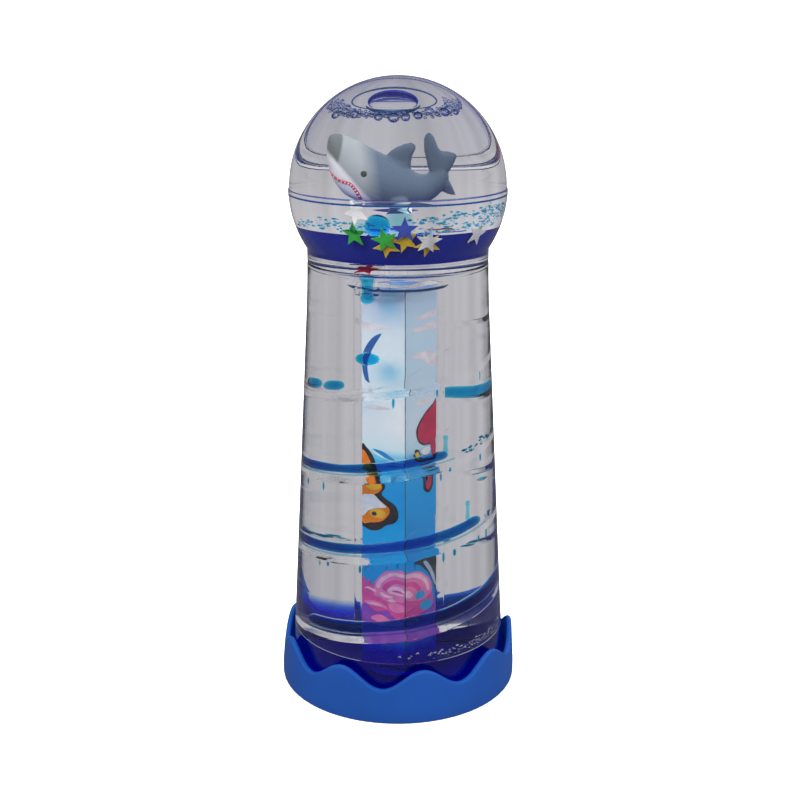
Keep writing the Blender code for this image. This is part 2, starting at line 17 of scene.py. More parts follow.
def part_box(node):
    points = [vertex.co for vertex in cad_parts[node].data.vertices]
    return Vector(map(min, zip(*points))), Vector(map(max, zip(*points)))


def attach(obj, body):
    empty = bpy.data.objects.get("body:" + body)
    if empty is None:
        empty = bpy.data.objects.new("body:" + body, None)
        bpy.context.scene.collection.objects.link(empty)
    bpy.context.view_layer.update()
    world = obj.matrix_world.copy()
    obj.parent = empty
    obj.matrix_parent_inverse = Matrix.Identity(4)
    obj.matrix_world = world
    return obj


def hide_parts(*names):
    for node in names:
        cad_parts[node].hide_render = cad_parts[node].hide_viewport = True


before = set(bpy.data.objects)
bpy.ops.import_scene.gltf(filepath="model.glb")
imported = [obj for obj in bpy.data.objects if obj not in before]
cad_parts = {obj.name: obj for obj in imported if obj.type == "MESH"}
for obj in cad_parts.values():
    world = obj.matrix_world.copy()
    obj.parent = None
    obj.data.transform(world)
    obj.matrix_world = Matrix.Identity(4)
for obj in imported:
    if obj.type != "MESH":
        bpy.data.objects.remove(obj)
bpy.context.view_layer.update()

MM = 0.001
TINY = 0.001 * MM
FILM = 0.05 * MM                    # gap left between a liquid and the wall that holds it
ROUND_STEPS = 160                   # segments in a full turn of the large round pieces
SMALL_STEPS = 40                    # segments in a full turn of the nozzles and drops
SHARP_ANGLE = 40.0                  # edges that bend more than this many degrees stay sharp

# Refractive indices
AIR = 1.0
OIL = 1.46
PLASTIC = 1.57
ACRYLIC = 1.50
WATER = 1.43
THIN_BUBBLE = 1.30                  # a flat bubble bends light less than a full ball of air


# ---------------------------------------------------------------- sizes read from the frame

def rings(cad):
    """A turned CAD node's rings of points as {height: (smallest radius, largest radius)}."""
    found = {}
    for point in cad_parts[cad].data.vertices:
        height = round(point.co.z, 6)
        radius = point.co.xy.length
        near, far = found.get(height, (radius, radius))
        found[height] = (min(near, radius), max(far, radius))
    return dict(sorted(found.items()))


def widest(cad):
    """The largest radius of a CAD node about the tower's axis."""
    return max(far for _, far in rings(cad).values())


def sphere_through(top, radius, height):
    """Centre height and radius of a sphere on the axis with this top and a ring of points."""
    centre = (top ** 2 - height ** 2 - radius ** 2) / (2.0 * (top - height))
    return centre, top - centre


def height_span(cad):
    low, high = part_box(cad)
    return low.z, high.z


def centre_of(cad):
    low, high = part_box(cad)
    return (low + high) / 2.0


TUBE_RINGS = rings("tube_shell")
TUBE_FOOT, TUBE_TOP = height_span("tube_shell")
DOME_RINGS = rings("globe_dome")
DOME_RIM = min(DOME_RINGS)
LIP_RADIUS = DOME_RINGS[DOME_RIM][1]
LIP_TOP = max(height for height, (_, far) in DOME_RINGS.items() if far > LIP_RADIUS - TINY)
DOME_TOP = max(DOME_RINGS)
INNER_TOP = max(height for height, (near, _) in DOME_RINGS.items()
                if near < TINY and height < DOME_TOP)
GLOBE_CENTRE, DOME_RADIUS = sphere_through(DOME_TOP, DOME_RINGS[LIP_TOP][0], LIP_TOP)
INNER_RADIUS = sphere_through(INNER_TOP, DOME_RINGS[DOME_RIM][0], DOME_RIM)[1]
BOWL_BOTTOM, BOWL_RIM = height_span("globe_bowl")
SPIGOT_RING, NECK_RING = list(rings("globe_bowl").values())[:2]     # its two lowest
BORE_RADIUS, SPIGOT_RADIUS = SPIGOT_RING
NECK_RADIUS = NECK_RING[1]
SEAM_HEIGHT = (BOWL_RIM + DOME_RIM) / 2.0
PLATE_BOTTOM = height_span("neck_plate")[0]
PLATE_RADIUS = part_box("neck_plate")[1].x
COLUMN_BOTTOM, COLUMN_TOP = height_span("picture_column")
COLUMN_SIDE = widest("picture_column") * math.sqrt(2.0)             # from its corners
CARD_BOTTOM, CARD_TOP = height_span("picture_card")
CARD_SIDE = widest("picture_card") * math.sqrt(2.0)
POOL_BOTTOM, POOL_TOP = height_span("globe_pool")
RESERVOIR_BOTTOM, RESERVOIR_TOP = height_span("reservoir_pool")
WAVE_CREST = height_span("wave_base")[1]

COLUMN_EDGE = 12.0                  # the column's front edge, in degrees from the front
PICTURE_ZERO = -1.9 * MM            # the level that heights in the printed picture start from
INK_THICKNESS = 0.02 * MM

# The base's wavy rim
WAVE_COUNT = 9
WAVE_FIRST_CREST = 12.0
WAVE_TROUGH = 9.5 * MM
WAVE_ROOT = 3.6 * MM

# The ramp's upper face rises evenly with the angle
RAMP_PITCH = 21.6 * MM
RAMP_FRONT_HEIGHT = 22.9 * MM
RAMP_THICKNESS = 2.0 * MM
RAMP_FIRST = -93.0
RAMP_LAST = 1272.0

# Liquid on the ramp: CAD node, first and last angle along the ramp, half width, half height
SLUGS = (
    ("ramp_slug_1", -64.0, 150.0, 2.6 * MM, 1.6 * MM),
    ("ramp_slug_2", 265.0, 420.0, 2.4 * MM, 1.45 * MM),
    ("ramp_slug_3", 627.0, 754.0, 2.2 * MM, 1.35 * MM),
    ("ramp_bead_1", 868.0, 888.0, 2.1 * MM, 1.8 * MM),
    ("ramp_bead_2", 1000.0, 1018.0, 2.1 * MM, 1.6 * MM),
    ("ramp_bead_3", 1023.0, 1041.0, 2.1 * MM, 1.5 * MM),
)

# The raft of bubbles that floats under the dome, and the large bubble in its middle
FOAM_MIDDLE = Vector((-0.8, -5.4, 153.1)) * MM
FOAM_HALF_WIDTH = 14.6 * MM
FOAM_HALF_DEPTH = 11.8 * MM
BUBBLE_MIDDLE = FOAM_MIDDLE + Vector((-0.2, -0.9, -0.1)) * MM
BUBBLE_HALF = Vector((5.3, 6.2, 1.7)) * MM

SHARK_HEIGHT = 136.7 * MM           # the shark's own middle

# Studio
LIT_SURFACES = 2.3                  # how much brighter the world is for surfaces than in the glass
MIRRORED = 0.35                     # how bright the world is in reflections
WORLD_GREYS = ((0.0, 0.45), (0.42, 0.49), (0.5, 0.53), (0.7, 0.66), (1.0, 0.84))
LAMP_TARGET = Vector((0.0, 0.0, 0.08))
LAMPS = (                           # name, place, width and height, power
    ("key_lamp", (-0.45, -0.60, 0.60), (0.5, 0.5), 10.0),
    ("fill_lamp", (0.60, -0.35, 0.35), (0.35, 0.6), 4.5),
    ("top_lamp", (0.0, 0.1, 0.9), (0.6, 0.6), 7.0),
    ("back_lamp", (0.35, 0.60, 0.45), (0.30, 0.6), 3.0),
)
CAMERA_PLACE = (0.0, -0.332, 0.1756)
CAMERA_TILT = 16.3                  # degrees it looks down
CAMERA_TURN = -0.09
CAMERA_LENS = 58.4


# ---------------------------------------------------------------- mesh helpers

def around(radius, angle, height):
    """The point at a radius, an angle from the front in degrees, and a height."""
    turn = math.radians(angle)
    return Vector((radius * math.sin(turn), -radius * math.cos(turn), height))


def arc(across, up, size, start, end, steps=4):
    """Points (radius, height) on a circle centred at (across, up), from start to end degrees."""
    points = []
    for step in range(steps + 1):
        angle = math.radians(start + (end - start) * step / steps)
        points.append((across + size * math.cos(angle), up + size * math.sin(angle)))
    return points


def circle(steps):
    """The (cosine, sine) of evenly spaced angles round a full turn."""
    return [(math.cos(math.tau * step / steps), math.sin(math.tau * step / steps))
            for step in range(steps)]


def blend(low, high, share):
    return low + (high - low) * share


def curve_through(rows, steps, closed=False):
    """Rows of numbers with smooth rows between them (Catmull-Rom)."""
    count = len(rows)
    curve = []
    for index in range(count if closed else count - 1):
        places = range(index - 1, index + 3)
        if closed:
            near = [rows[place % count] for place in places]
        else:
            near = [rows[max(0, min(count - 1, place))] for place in places]
        for step in range(steps):
            t = step / steps
            curve.append(tuple(
                0.5 * (2.0 * b + (c - a) * t + (2.0 * a - 5.0 * b + 4.0 * c - d) * t * t
                       + (3.0 * b - a - 3.0 * c + d) * t ** 3)
                for a, b, c, d in zip(*near)))
    return curve if closed else curve + [rows[-1]]


def revolve(outline, steps=ROUND_STEPS, slots=None):
    """Spin an outline of (radius, height) points about Z, closed where it is off the axis.

    slots names the material slot of each band between two points.
    """
    shape = bmesh.new()
    rows = []
    for radius, height in outline:
        if radius < TINY:
            rows.append([shape.verts.new((0.0, 0.0, height))])
        else:
            rows.append([shape.verts.new(around(radius, 360.0 * step / steps, height))
                         for step in range(steps)])
    joins = list(zip(rows, rows[1:]))
    if outline[0][0] > TINY:
        joins.append((rows[-1], rows[0]))
    for band_index, (row, following) in enumerate(joins):
        for index in range(steps):
            beside = (index + 1) % steps
            corners = (row[index % len(row)], row[beside % len(row)],
                       following[beside % len(following)], following[index % len(following)])
            face = shape.faces.new(list(dict.fromkeys(corners)))
            face.material_index = slots[band_index] if slots else 0
    return shape


def turned(outline, cad, steps=SMALL_STEPS):
    """Spin an outline about the upright axis through a CAD node's middle."""
    shape = revolve(outline, steps)
    middle = centre_of(cad)
    bmesh.ops.translate(shape, vec=(middle.x, middle.y, 0.0), verts=shape.verts)
    return shape


def loft(sections, closed=False, into=None):
    """Join rings of points, one after another, with the end rings capped or joined in a loop."""
    shape = into or bmesh.new()
    rows = [[shape.verts.new(point) for point in section] for section in sections]
    joins = list(zip(rows, rows[1:]))
    if closed:
        joins.append((rows[-1], rows[0]))
    else:
        shape.faces.new(rows[0][::-1])
        shape.faces.new(rows[-1])
    for row, following in joins:
        for index in range(len(row)):
            beside = (index + 1) % len(row)
            shape.faces.new((row[index], row[beside], following[beside], following[index]))
    return shape


def add_ball(shape, centre, sizes, turn=Matrix.Identity(3), detail=2):
    """Add a ball with its own half sizes to a bmesh."""
    placed = Matrix.Translation(centre) @ (turn @ Matrix.Diagonal(sizes)).to_4x4()
    bmesh.ops.create_icosphere(shape, subdivisions=detail, radius=1.0, matrix=placed)


def ball(centre, sizes, detail):
    """A bmesh of one ball."""
    shape = bmesh.new()
    add_ball(shape, centre, sizes, detail=detail)
    return shape


def as_object(name, shape, finishes=()):
    """Turn a bmesh into a smooth object; finishes are names in MATERIALS, one for each slot."""
    mesh = bpy.data.meshes.new(name)
    shape.to_mesh(mesh)
    shape.free()
    mesh.shade_smooth()
    for finish in finishes:
        mesh.materials.append(MATERIALS[finish])
    item = bpy.data.objects.new(name, mesh)
    bpy.context.scene.collection.objects.link(item)
    return item


def add_piece(name, shape, finish, body, slot, *stands_for):
    """Turn a bmesh into a piece that rides on a body and may stand for CAD nodes."""
    bmesh.ops.recalc_face_normals(shape, faces=shape.faces)
    item = as_object(name, shape, (finish,) if isinstance(finish, str) else finish)
    item.data.set_sharp_from_angle(angle=math.radians(SHARP_ANGLE))
    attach(item, body)
    if stands_for:
        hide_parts(*stands_for)


# ---------------------------------------------------------------- shader nodes

COLOUR_UNDER, COLOUR_OVER, COLOUR_MIXED = 6, 7, 2       # a colour Mix node's own sockets


def fill(owner, socket, value):
    """Give a socket a plain value, a colour without its alpha, or another node's output."""
    if isinstance(value, bpy.types.NodeSocket):
        owner.node_tree.links.new(value, socket)
    else:
        socket.default_value = (*value, 1.0) if socket.type == "RGBA" else value


def node(owner, kind, inputs=(), **settings):
    """Add a node to a material or the world, fill some inputs and return its outputs."""
    made = owner.node_tree.nodes.new("ShaderNode" + kind)
    for attribute, value in settings.items():
        setattr(made, attribute, value)
    for socket, value in dict(inputs).items():
        fill(owner, made.inputs[socket], value)
    return made.outputs


def principled(name, **values):
    """A Principled material; a value's name is its socket's, with _ for each space."""
    material = bpy.data.materials.new(name)
    material.use_nodes = True
    for socket, value in values.items():
        set_shader(material, socket.replace("_", " "), value)
    return material


def shader_of(material):
    return material.node_tree.nodes["Principled BSDF"]


def set_shader(material, socket, value):
    fill(material, shader_of(material).inputs[socket], value)


def set_output(material, socket, value):
    fill(material, material.node_tree.nodes["Material Output"].inputs[socket], value)


def mapped(owner, value, low, high, to_low=0.0, to_high=1.0):
    """Map a value from low..high to to_low..to_high."""
    return node(owner, "MapRange", {"Value": value, "From Min": low, "From Max": high,
                                    "To Min": to_low, "To Max": to_high})["Result"]


def colour_ramp(owner, value, stops):
    """A colour for each value from 0 to 1; a stop is its position and its colour."""
    made = owner.node_tree.nodes.new("ShaderNodeValToRGB")
    elements = made.color_ramp.elements
    while len(elements) < len(stops):
        elements.new(0.5)
    for element, (position, colour) in zip(elements, stops):
        element.position = position
        element.color = (*colour, 1.0)
    fill(owner, made.inputs["Fac"], value)
    return made.outputs["Color"]


def pattern(material, scale, detail=3.0, stretch=(1.0, 1.0, 1.0)):
    """A noise value over the object's own coordinates, in metres."""
    place = node(material, "TexCoord")["Object"]
    stretched = node(material, "Mapping", {"Vector": place, "Scale": stretch})["Vector"]
    return node(material, "TexNoise", {"Vector": stretched, "Scale": scale,
                                       "Detail": detail})["Fac"]


def add_bump(material, height, strength, distance):
    bump = node(material, "Bump", {"Height": height, "Strength": strength,
                                   "Distance": distance})
    set_shader(material, "Normal", bump["Normal"])


def vary(material, value, socket, low, high):
    """Drive a shader socket between two numbers or colours by a noise value."""
    ends = [end if isinstance(end, tuple) else (end,) * 3 for end in (low, high)]
    colour = colour_ramp(material, value, list(zip((0.3, 0.7), ends)))
    set_shader(material, socket, colour)


def layered(material, under, over, share, blend_type="MIX"):
    """Put a colour over another by a share; each is a plain value or a node's output."""
    return node(material, "Mix", {"Factor": share, COLOUR_UNDER: under, COLOUR_OVER: over},
                data_type="RGBA", blend_type=blend_type)[COLOUR_MIXED]


def mix_shaders(material, share, shader):
    """Turn the material's own shader into another one by a share."""
    own = shader_of(material).outputs["BSDF"]
    set_output(material, "Surface", node(material, "MixShader", {"Fac": share, 1: own,
                                                                 2: shader})["Shader"])


def let_lamps_through(material, tint):
    """Make a material transparent to rays that look for a lamp, so that light gets inside."""
    clear = node(material, "BsdfTransparent", {"Color": tint})["BSDF"]
    mix_shaders(material, node(material, "LightPath")["Is Shadow Ray"], clear)


def beyond(material, start, direction, softness):
    """From 0 to 1 where the object's surface passes a soft plane through start.

    The direction points to the side where the value is 1.
    """
    across = direction.normalized()
    place = node(material, "TexCoord")["Object"]
    along = node(material, "VectorMath", {0: place, 1: across}, operation="DOT_PRODUCT")["Value"]
    offset = across.dot(start)
    return mapped(material, along, offset - softness, offset + softness)


# ---------------------------------------------------------------- materials

def mottled(name, scale, low, high, detail=3.0, bump=None, **values):
    """A Principled material that wanders between two colours.

    bump holds a noise scale, its detail, the bump's strength and its distance.
    """
    material = principled(name, **values)
    vary(material, pattern(material, scale, detail), "Base Color", low, high)
    if bump:
        bump_scale, bump_detail, strength, distance = bump
        add_bump(material, pattern(material, bump_scale, bump_detail), strength, distance)
    return material


def clear_plastic(name, index, tint, waviness):
    """Moulded clear plastic with a faint flow waviness and a few hazy patches."""
    material = principled(name, Base_Color=tint, Transmission_Weight=1.0, IOR=index)
    add_bump(material, pattern(material, 90.0, stretch=(1.0, 1.0, 0.35)), waviness, 1.0 * MM)
    vary(material, pattern(material, 260.0, 6.0), "Roughness", 0.0, 0.035)
    let_lamps_through(material, tuple(0.5 + 0.5 * part for part in tint))
    return material


def dyed_liquid(name, colour, density):
    """Blue liquid: clear, and darker the deeper it is."""
    material = principled(name, Base_Color=(0.96, 0.98, 1.0), Roughness=0.01,
                          Transmission_Weight=1.0, IOR=WATER / OIL)
    add_bump(material, pattern(material, 180.0), 0.05, 1.0 * MM)
    let_lamps_through(material, (0.98, 0.99, 1.0))
    absorption = node(material, "VolumeAbsorption", {"Color": colour, "Density": density})
    set_output(material, "Volume", absorption["Volume"])
    return material


def foam():
    """Air bubbles in oil, whose rims are drawn dark blue where they turn from the view: partly the
    blue liquid on them, partly painted shade for a bubble's dark edge.
    """
    material = principled("blue_rimmed_foam", Base_Color=(0.90, 0.96, 1.0), Roughness=0.0,
                          Transmission_Weight=1.0, IOR=AIR / OIL)
    facing = node(material, "LayerWeight", {"Blend": 0.5})["Facing"]
    rim = node(material, "BsdfPrincipled", {"Base Color": (0.0, 0.07, 0.15), "Roughness": 0.2})
    # Painted shade: a dark blue rim mixed in where the surface turns away from the view.
    mix_shaders(material, mapped(material, facing, 0.50, 0.82), rim["BSDF"])
    return material


def foil(name, colour, metallic=0.2, crease_shade=0.6):
    """Embossed film with darker patches of painted shade for creases and facets turned from the
    light; crease_shade is their brightness.
    """
    # Painted shade: patches of darker colour where creases and facets would catch less light.
    crease_shade_colour = tuple(crease_shade * part for part in colour)
    return mottled(name, 330.0, crease_shade_colour, colour, bump=(900.0, 2.0, 0.35, 0.2 * MM),
                   Metallic=metallic, Roughness=0.28)


def layer_liquid():
    """The globe's deep blue layer, which is dense enough to look nearly opaque."""
    material = mottled("blue_layer", 60.0, (0.012, 0.024, 0.27), (0.018, 0.034, 0.34),
                       Roughness=0.04, Transmission_Weight=0.35, IOR=WATER / OIL)
    let_lamps_through(material, (0.30, 0.45, 0.85))
    return material


# Height above PICTURE_ZERO in millimetres, colour of the printed background
SKY_TO_SEA = (
    (6.0, (0.005, 0.05, 0.30)), (18.0, (0.008, 0.14, 0.55)), (30.0, (0.010, 0.30, 0.72)),
    (55.0, (0.012, 0.38, 0.82)), (66.0, (0.030, 0.44, 0.84)), (68.0, (0.20, 0.66, 0.90)),
    (70.0, (0.72, 0.90, 0.96)), (76.0, (0.90, 0.95, 0.98)), (92.0, (0.76, 0.90, 0.97)),
    (111.0, (0.80, 0.91, 0.97)),
)


def printed_card():
    """Sky above a waterline and darker water below, with paper grain; the right-hand face is bluer
    and darker, partly print and partly painted shade.
    """
    material = principled("printed_background", Roughness=0.45, Coat_Weight=0.2)
    low = SKY_TO_SEA[0][0]
    high = SKY_TO_SEA[-1][0]
    place = node(material, "TexCoord")["Object"]
    height = node(material, "SeparateXYZ", {"Vector": place})["Z"]
    share = mapped(material, height, PICTURE_ZERO + low * MM, PICTURE_ZERO + high * MM)
    colour = colour_ramp(material, share, [((level - low) / (high - low), stop)
                                           for level, stop in SKY_TO_SEA])
    # Painted shade: the right-hand face is multiplied darker as well as bluer, as that face gets
    # less light.
    right_face_blue_and_shade = beyond(material, Vector(), around(1.0, COLUMN_EDGE + 90.0, 0.0), 0.2 * MM)
    colour = layered(material, colour, (0.82, 0.92, 1.0), right_face_blue_and_shade, "MULTIPLY")
    colour = layered(material, colour, pattern(material, 700.0, 8.0), 0.12, "MULTIPLY")
    set_shader(material, "Base Color", colour)
    add_bump(material, pattern(material, 3000.0), 0.05, 0.05 * MM)
    return material


def in_shark(along, across, up):
    """A point given in millimetres from the shark's middle."""
    return Vector((along * MM, across * MM, SHARK_HEIGHT + up * MM))


def shark_vinyl():
    """Soft vinyl: grey back, a darker snout and tail, and a white jaw and belly."""
    material = principled("shark_vinyl", Roughness=0.42, Coat_Weight=0.1)
    mottle = mapped(material, pattern(material, 260.0, 4.0), 0.0, 1.0, 0.0, 0.35)
    rear = beyond(material, in_shark(-4.8, 0.0, 0.0), Vector((1.0, 0.0, 0.12)), 1.6 * MM)
    snout = beyond(material, in_shark(-10.3, 0.0, 6.4), Vector((-1.0, 0.0, 0.25)), 0.25 * MM)
    jaw = beyond(material, in_shark(-12.3, 0.0, 4.2), Vector((-0.74, 0.0, -0.67)), 0.35 * MM)
    belly = beyond(material, in_shark(0.0, 0.0, -4.9), Vector((0.0, 0.0, -1.0)), 0.7 * MM)
    pale = node(material, "Math", {0: jaw, 1: belly}, operation="MAXIMUM")["Value"]
    colour = (0.36, 0.39, 0.41)
    for over, share in (((0.23, 0.26, 0.29), mottle), ((0.085, 0.12, 0.175), rear),
                        ((0.13, 0.15, 0.155), snout), ((0.86, 0.86, 0.88), pale)):
        colour = layered(material, colour, over, share)
    set_shader(material, "Base Color", colour)
    add_bump(material, pattern(material, 1400.0), 0.12, 0.1 * MM)
    return material


def ink(name, colour, spread=0.25):
    """Printed ink with a soft brushy variation."""
    darker = tuple(part * (1.0 - spread) for part in colour)
    return mottled(name, 500.0, darker, colour, 4.0, Roughness=0.45, Coat_Weight=0.2)


# Colours of the printed shapes
INKS = {
    "cloud": (0.94, 0.88, 0.93), "pale_wave": (0.66, 0.88, 0.96), "wave": (0.02, 0.26, 0.62),
    "gull": (0.03, 0.14, 0.45), "dark": (0.015, 0.014, 0.016), "orange": (0.90, 0.24, 0.02),
    "amber": (0.95, 0.50, 0.05), "white": (0.90, 0.90, 0.92), "crimson": (0.55, 0.03, 0.09),
    "slate": (0.03, 0.04, 0.05), "mist": (0.45, 0.52, 0.70), "blush": (0.94, 0.55, 0.74),
    "pink": (0.86, 0.22, 0.50), "rose": (0.74, 0.09, 0.36), "purple": (0.26, 0.08, 0.50),
    "bubble": (0.02, 0.36, 0.72), "sand": (0.10, 0.20, 0.50),
}
SHELL_TINT = (0.955, 0.96, 0.97)
MATERIALS = {
    "shell_air": clear_plastic("shell_air_side", PLASTIC / AIR, SHELL_TINT, 0.03),
    "shell_oil": clear_plastic("shell_oil_side", PLASTIC / OIL, SHELL_TINT, 0.03),
    "insert": clear_plastic("clear_insert_in_oil", ACRYLIC / OIL, (0.98, 0.98, 0.985), 0.02),
    "thin_bubble": clear_plastic("thin_bubble", THIN_BUBBLE / OIL, (1.0, 1.0, 1.0), 0.0),
    "liquid": dyed_liquid("blue_dyed_liquid", (0.0, 0.86, 0.96), 1350.0),
    "tinted": dyed_liquid("thin_blue_film", (0.30, 0.84, 0.90), 260.0),
    "bead": dyed_liquid("blue_bead_liquid", (0.0, 0.79, 0.93), 1100.0),
    "slug": dyed_liquid("blue_slug_liquid", (0.0, 0.66, 0.885), 1400.0),
    "deep": dyed_liquid("blue_reservoir_liquid", (0.0, 0.34, 0.96), 500.0),
    "seam": dyed_liquid("seam_liquid", (0.0, 0.40, 0.80), 16000.0),
    "smear": dyed_liquid("smeared_liquid", (0.0, 0.78, 0.88), 8000.0),
    "layer": layer_liquid(),
    "foam": foam(),
    "seam_line": mottled("crevice_liquid", 700.0, (0.002, 0.022, 0.085), (0.004, 0.040, 0.13),
                         Roughness=0.15),
    "base": mottled("blue_base_plastic", 45.0, (0.0022, 0.031, 0.150), (0.0030, 0.037, 0.178),
                    bump=(2600.0, 2.0, 0.12, 0.1 * MM), Roughness=0.42,
                    Specular_IOR_Level=0.2),
    "rubber": mottled("plug_rubber", 300.0, (0.50, 0.51, 0.52), (0.60, 0.61, 0.62),
                      bump=(1500.0, 3.0, 0.2, 0.1 * MM), Roughness=0.7),
    "card": printed_card(),
    "white": foil("white_film", (1.0, 0.99, 0.98), 0.0, 0.9),
    "silver": foil("silver_foil", (0.92, 0.92, 0.96)),
    "gold": foil("gold_foil", (1.0, 0.66, 0.03)),
    "green": foil("green_foil", (0.04, 0.55, 0.06)),
    "blue": foil("blue_foil", (0.05, 0.10, 0.55)),
    "red": foil("red_foil", (0.85, 0.02, 0.03)),
    "shark": shark_vinyl(),
    "mouth": ink("shark_mouth_paint", (0.72, 0.10, 0.16)),
    "teeth": ink("shark_tooth_paint", (0.92, 0.90, 0.90), 0.05),
    "eye": ink("shark_eye_paint", (0.05, 0.06, 0.06)),
    "floor": mottled("studio_floor", 8.0, (0.85, 0.85, 0.86), (0.88, 0.88, 0.89),
                     Base_Color=(0.86, 0.86, 0.87), Roughness=0.9,
                     Emission_Color=(1.0, 1.0, 1.0), Emission_Strength=0.42),
}
MATERIALS.update({"ink_" + name: ink("print_ink_" + name, colour)
                  for name, colour in INKS.items()})


# ---------------------------------------------------------------- clear shells

CLEAR_SHELL = ("shell_air", "shell_oil")
AIR_SIDE, OIL_SIDE = 0, 1           # the slots of CLEAR_SHELL
INSIDE, OUTSIDE = 0, 1


def tube_radius(height, side):
    """The tube's wall at a height, on its inside or outside."""
    heights = list(TUBE_RINGS)
    height = max(heights[0], min(heights[-1], height))
    for low, high in zip(heights, heights[1:]):
        if height <= high:
            share = (height - low) / (high - low)
            return blend(TUBE_RINGS[low][side], TUBE_RINGS[high][side], share)
    return TUBE_RINGS[heights[-1]][side]


def eased_tube_radius(height, side):
    """The tube's wall with its changes of taper eased over a few millimetres."""
    samples = [tube_radius(height + offset * MM, side) for offset in range(-4, 5)]
    return sum(samples) / len(samples)


def make_tube():
    """The tapered tube, with rounded edges at its foot and top."""
    edge = 0.5 * MM
    steps = 30
    heights = [blend(TUBE_FOOT + edge, TUBE_TOP - edge, step / steps)
               for step in range(steps + 1)]
    wall = [(eased_tube_radius(height, OUTSIDE), height) for height in heights]
    outer = arc(wall[0][0] - edge, heights[0], edge, -90.0, 0.0)[:-1] + wall
    outer += arc(wall[-1][0] - edge, heights[-1], edge, 0.0, 90.0)[1:]
    inner = [(eased_tube_radius(height, INSIDE), height)
             for height in [TUBE_TOP, *reversed(heights), TUBE_FOOT]]
    add_piece("clear_tube", shell(outer, inner), CLEAR_SHELL, "root", "clear_shell",
              "tube_shell")


def shell(outer, inner):
    """Spin a wall whose first points face the air and whose other points face the oil."""
    return revolve(outer + inner, slots=[AIR_SIDE] * len(outer) + [OIL_SIDE] * len(inner))


def elevation(height, radius):
    """Where a sphere about the globe's centre passes a height, in degrees above its equator."""
    return math.degrees(math.asin((height - GLOBE_CENTRE) / radius))


def globe_arc(radius, start, end, steps):
    """Points on a sphere about the globe's centre, between two elevations."""
    return arc(0.0, GLOBE_CENTRE, radius, start, end, steps)


SEAM_GAP = 0.08 * MM
LIP_EDGE = 0.25 * MM


def make_bowl():
    """The globe's lower half, with its neck and the spigot that stands in the tube."""
    rim = SEAM_HEIGHT - SEAM_GAP / 2.0
    neck_bottom = TUBE_TOP + FILM
    outer = [(INNER_RADIUS * math.cos(math.radians(elevation(rim, INNER_RADIUS))), rim)]
    outer += arc(LIP_RADIUS - LIP_EDGE, rim - LIP_EDGE, LIP_EDGE, 90.0, 0.0)
    outer += globe_arc(LIP_RADIUS, elevation(rim - LIP_EDGE, LIP_RADIUS),
                       -math.degrees(math.acos(NECK_RADIUS / LIP_RADIUS)), 24)[1:]
    outer += arc(NECK_RADIUS - LIP_EDGE, neck_bottom + LIP_EDGE, LIP_EDGE, 0.0, -90.0)
    inner = [(SPIGOT_RADIUS, neck_bottom), (SPIGOT_RADIUS, BOWL_BOTTOM + LIP_EDGE),
             (SPIGOT_RADIUS - LIP_EDGE, BOWL_BOTTOM), (BORE_RADIUS + LIP_EDGE, BOWL_BOTTOM),
             (BORE_RADIUS, BOWL_BOTTOM + LIP_EDGE)]
    inner += globe_arc(INNER_RADIUS, -math.degrees(math.acos(BORE_RADIUS / INNER_RADIUS)),
                       elevation(rim, INNER_RADIUS), 24)[:-1]
    add_piece("clear_globe_bowl", shell(outer, inner), CLEAR_SHELL, "root", "clear_shell",
              "globe_bowl")


def make_dome():
    """The globe's upper half, with a raised lip at the seam."""
    rim = SEAM_HEIGHT + SEAM_GAP / 2.0
    inner = globe_arc(INNER_RADIUS, 90.0, elevation(rim, INNER_RADIUS), 32)
    outer = arc(LIP_RADIUS - LIP_EDGE, rim + LIP_EDGE, LIP_EDGE, -90.0, 0.0)
    outer += arc(LIP_RADIUS - LIP_EDGE, LIP_TOP - LIP_EDGE, LIP_EDGE, 0.0, 90.0)
    outer += globe_arc(DOME_RADIUS, elevation(LIP_TOP, DOME_RADIUS), 90.0, 32)
    slots = [OIL_SIDE] * (len(inner) - 1) + [AIR_SIDE] * len(outer)
    add_piece("clear_globe_dome", revolve(inner + outer, slots=slots), CLEAR_SHELL, "root",
              "clear_shell", "globe_dome")


# ---------------------------------------------------------------- base

def wave_height(angle):
    """The height of the base's rim at an angle in degrees."""
    middle = (WAVE_CREST + WAVE_TROUGH) / 2.0
    swing = (WAVE_CREST - WAVE_TROUGH) / 2.0
    return middle + swing * math.cos(math.radians(WAVE_COUNT * (angle - WAVE_FIRST_CREST)))


def make_base():
    """The wavy cup, with a rounded rim and foot: turned with an even rim, then waved."""
    foot_radius = widest("wave_base")
    rim_radius = foot_radius - 0.5 * MM
    wall = 1.5 * MM
    inner_radius = rim_radius - wall
    floor = 2.2 * MM
    foot_round = 0.9 * MM
    rim_round = wall / 2.0
    rim = WAVE_CREST - rim_round
    outline = [(0.0, 0.0), (foot_radius - foot_round, 0.0)]
    outline += arc(foot_radius - foot_round, foot_round, foot_round, -75.0, 0.0, 5)
    outline += [(blend(foot_radius, rim_radius, step / 5.0), blend(WAVE_ROOT, rim, step / 5.0))
                for step in range(5)]
    outline += arc(rim_radius - rim_round, rim, rim_round, 0.0, 180.0, 10)
    outline += [(inner_radius, blend(rim, WAVE_ROOT, step / 4.0)) for step in range(1, 5)]
    outline += [(inner_radius, floor), (0.0, floor)]
    shape = revolve(outline, WAVE_COUNT * 36)
    for point in shape.verts:
        share = max(0.0, (point.co.z - WAVE_ROOT) / (WAVE_CREST - WAVE_ROOT))
        angle = math.degrees(math.atan2(point.co.x, -point.co.y))
        point.co.z += share * (wave_height(angle) - WAVE_CREST)
    add_piece("blue_wave_base", shape, "base", "root", "blue_plastic", "wave_base")


# ---------------------------------------------------------------- column, ramp and nozzles

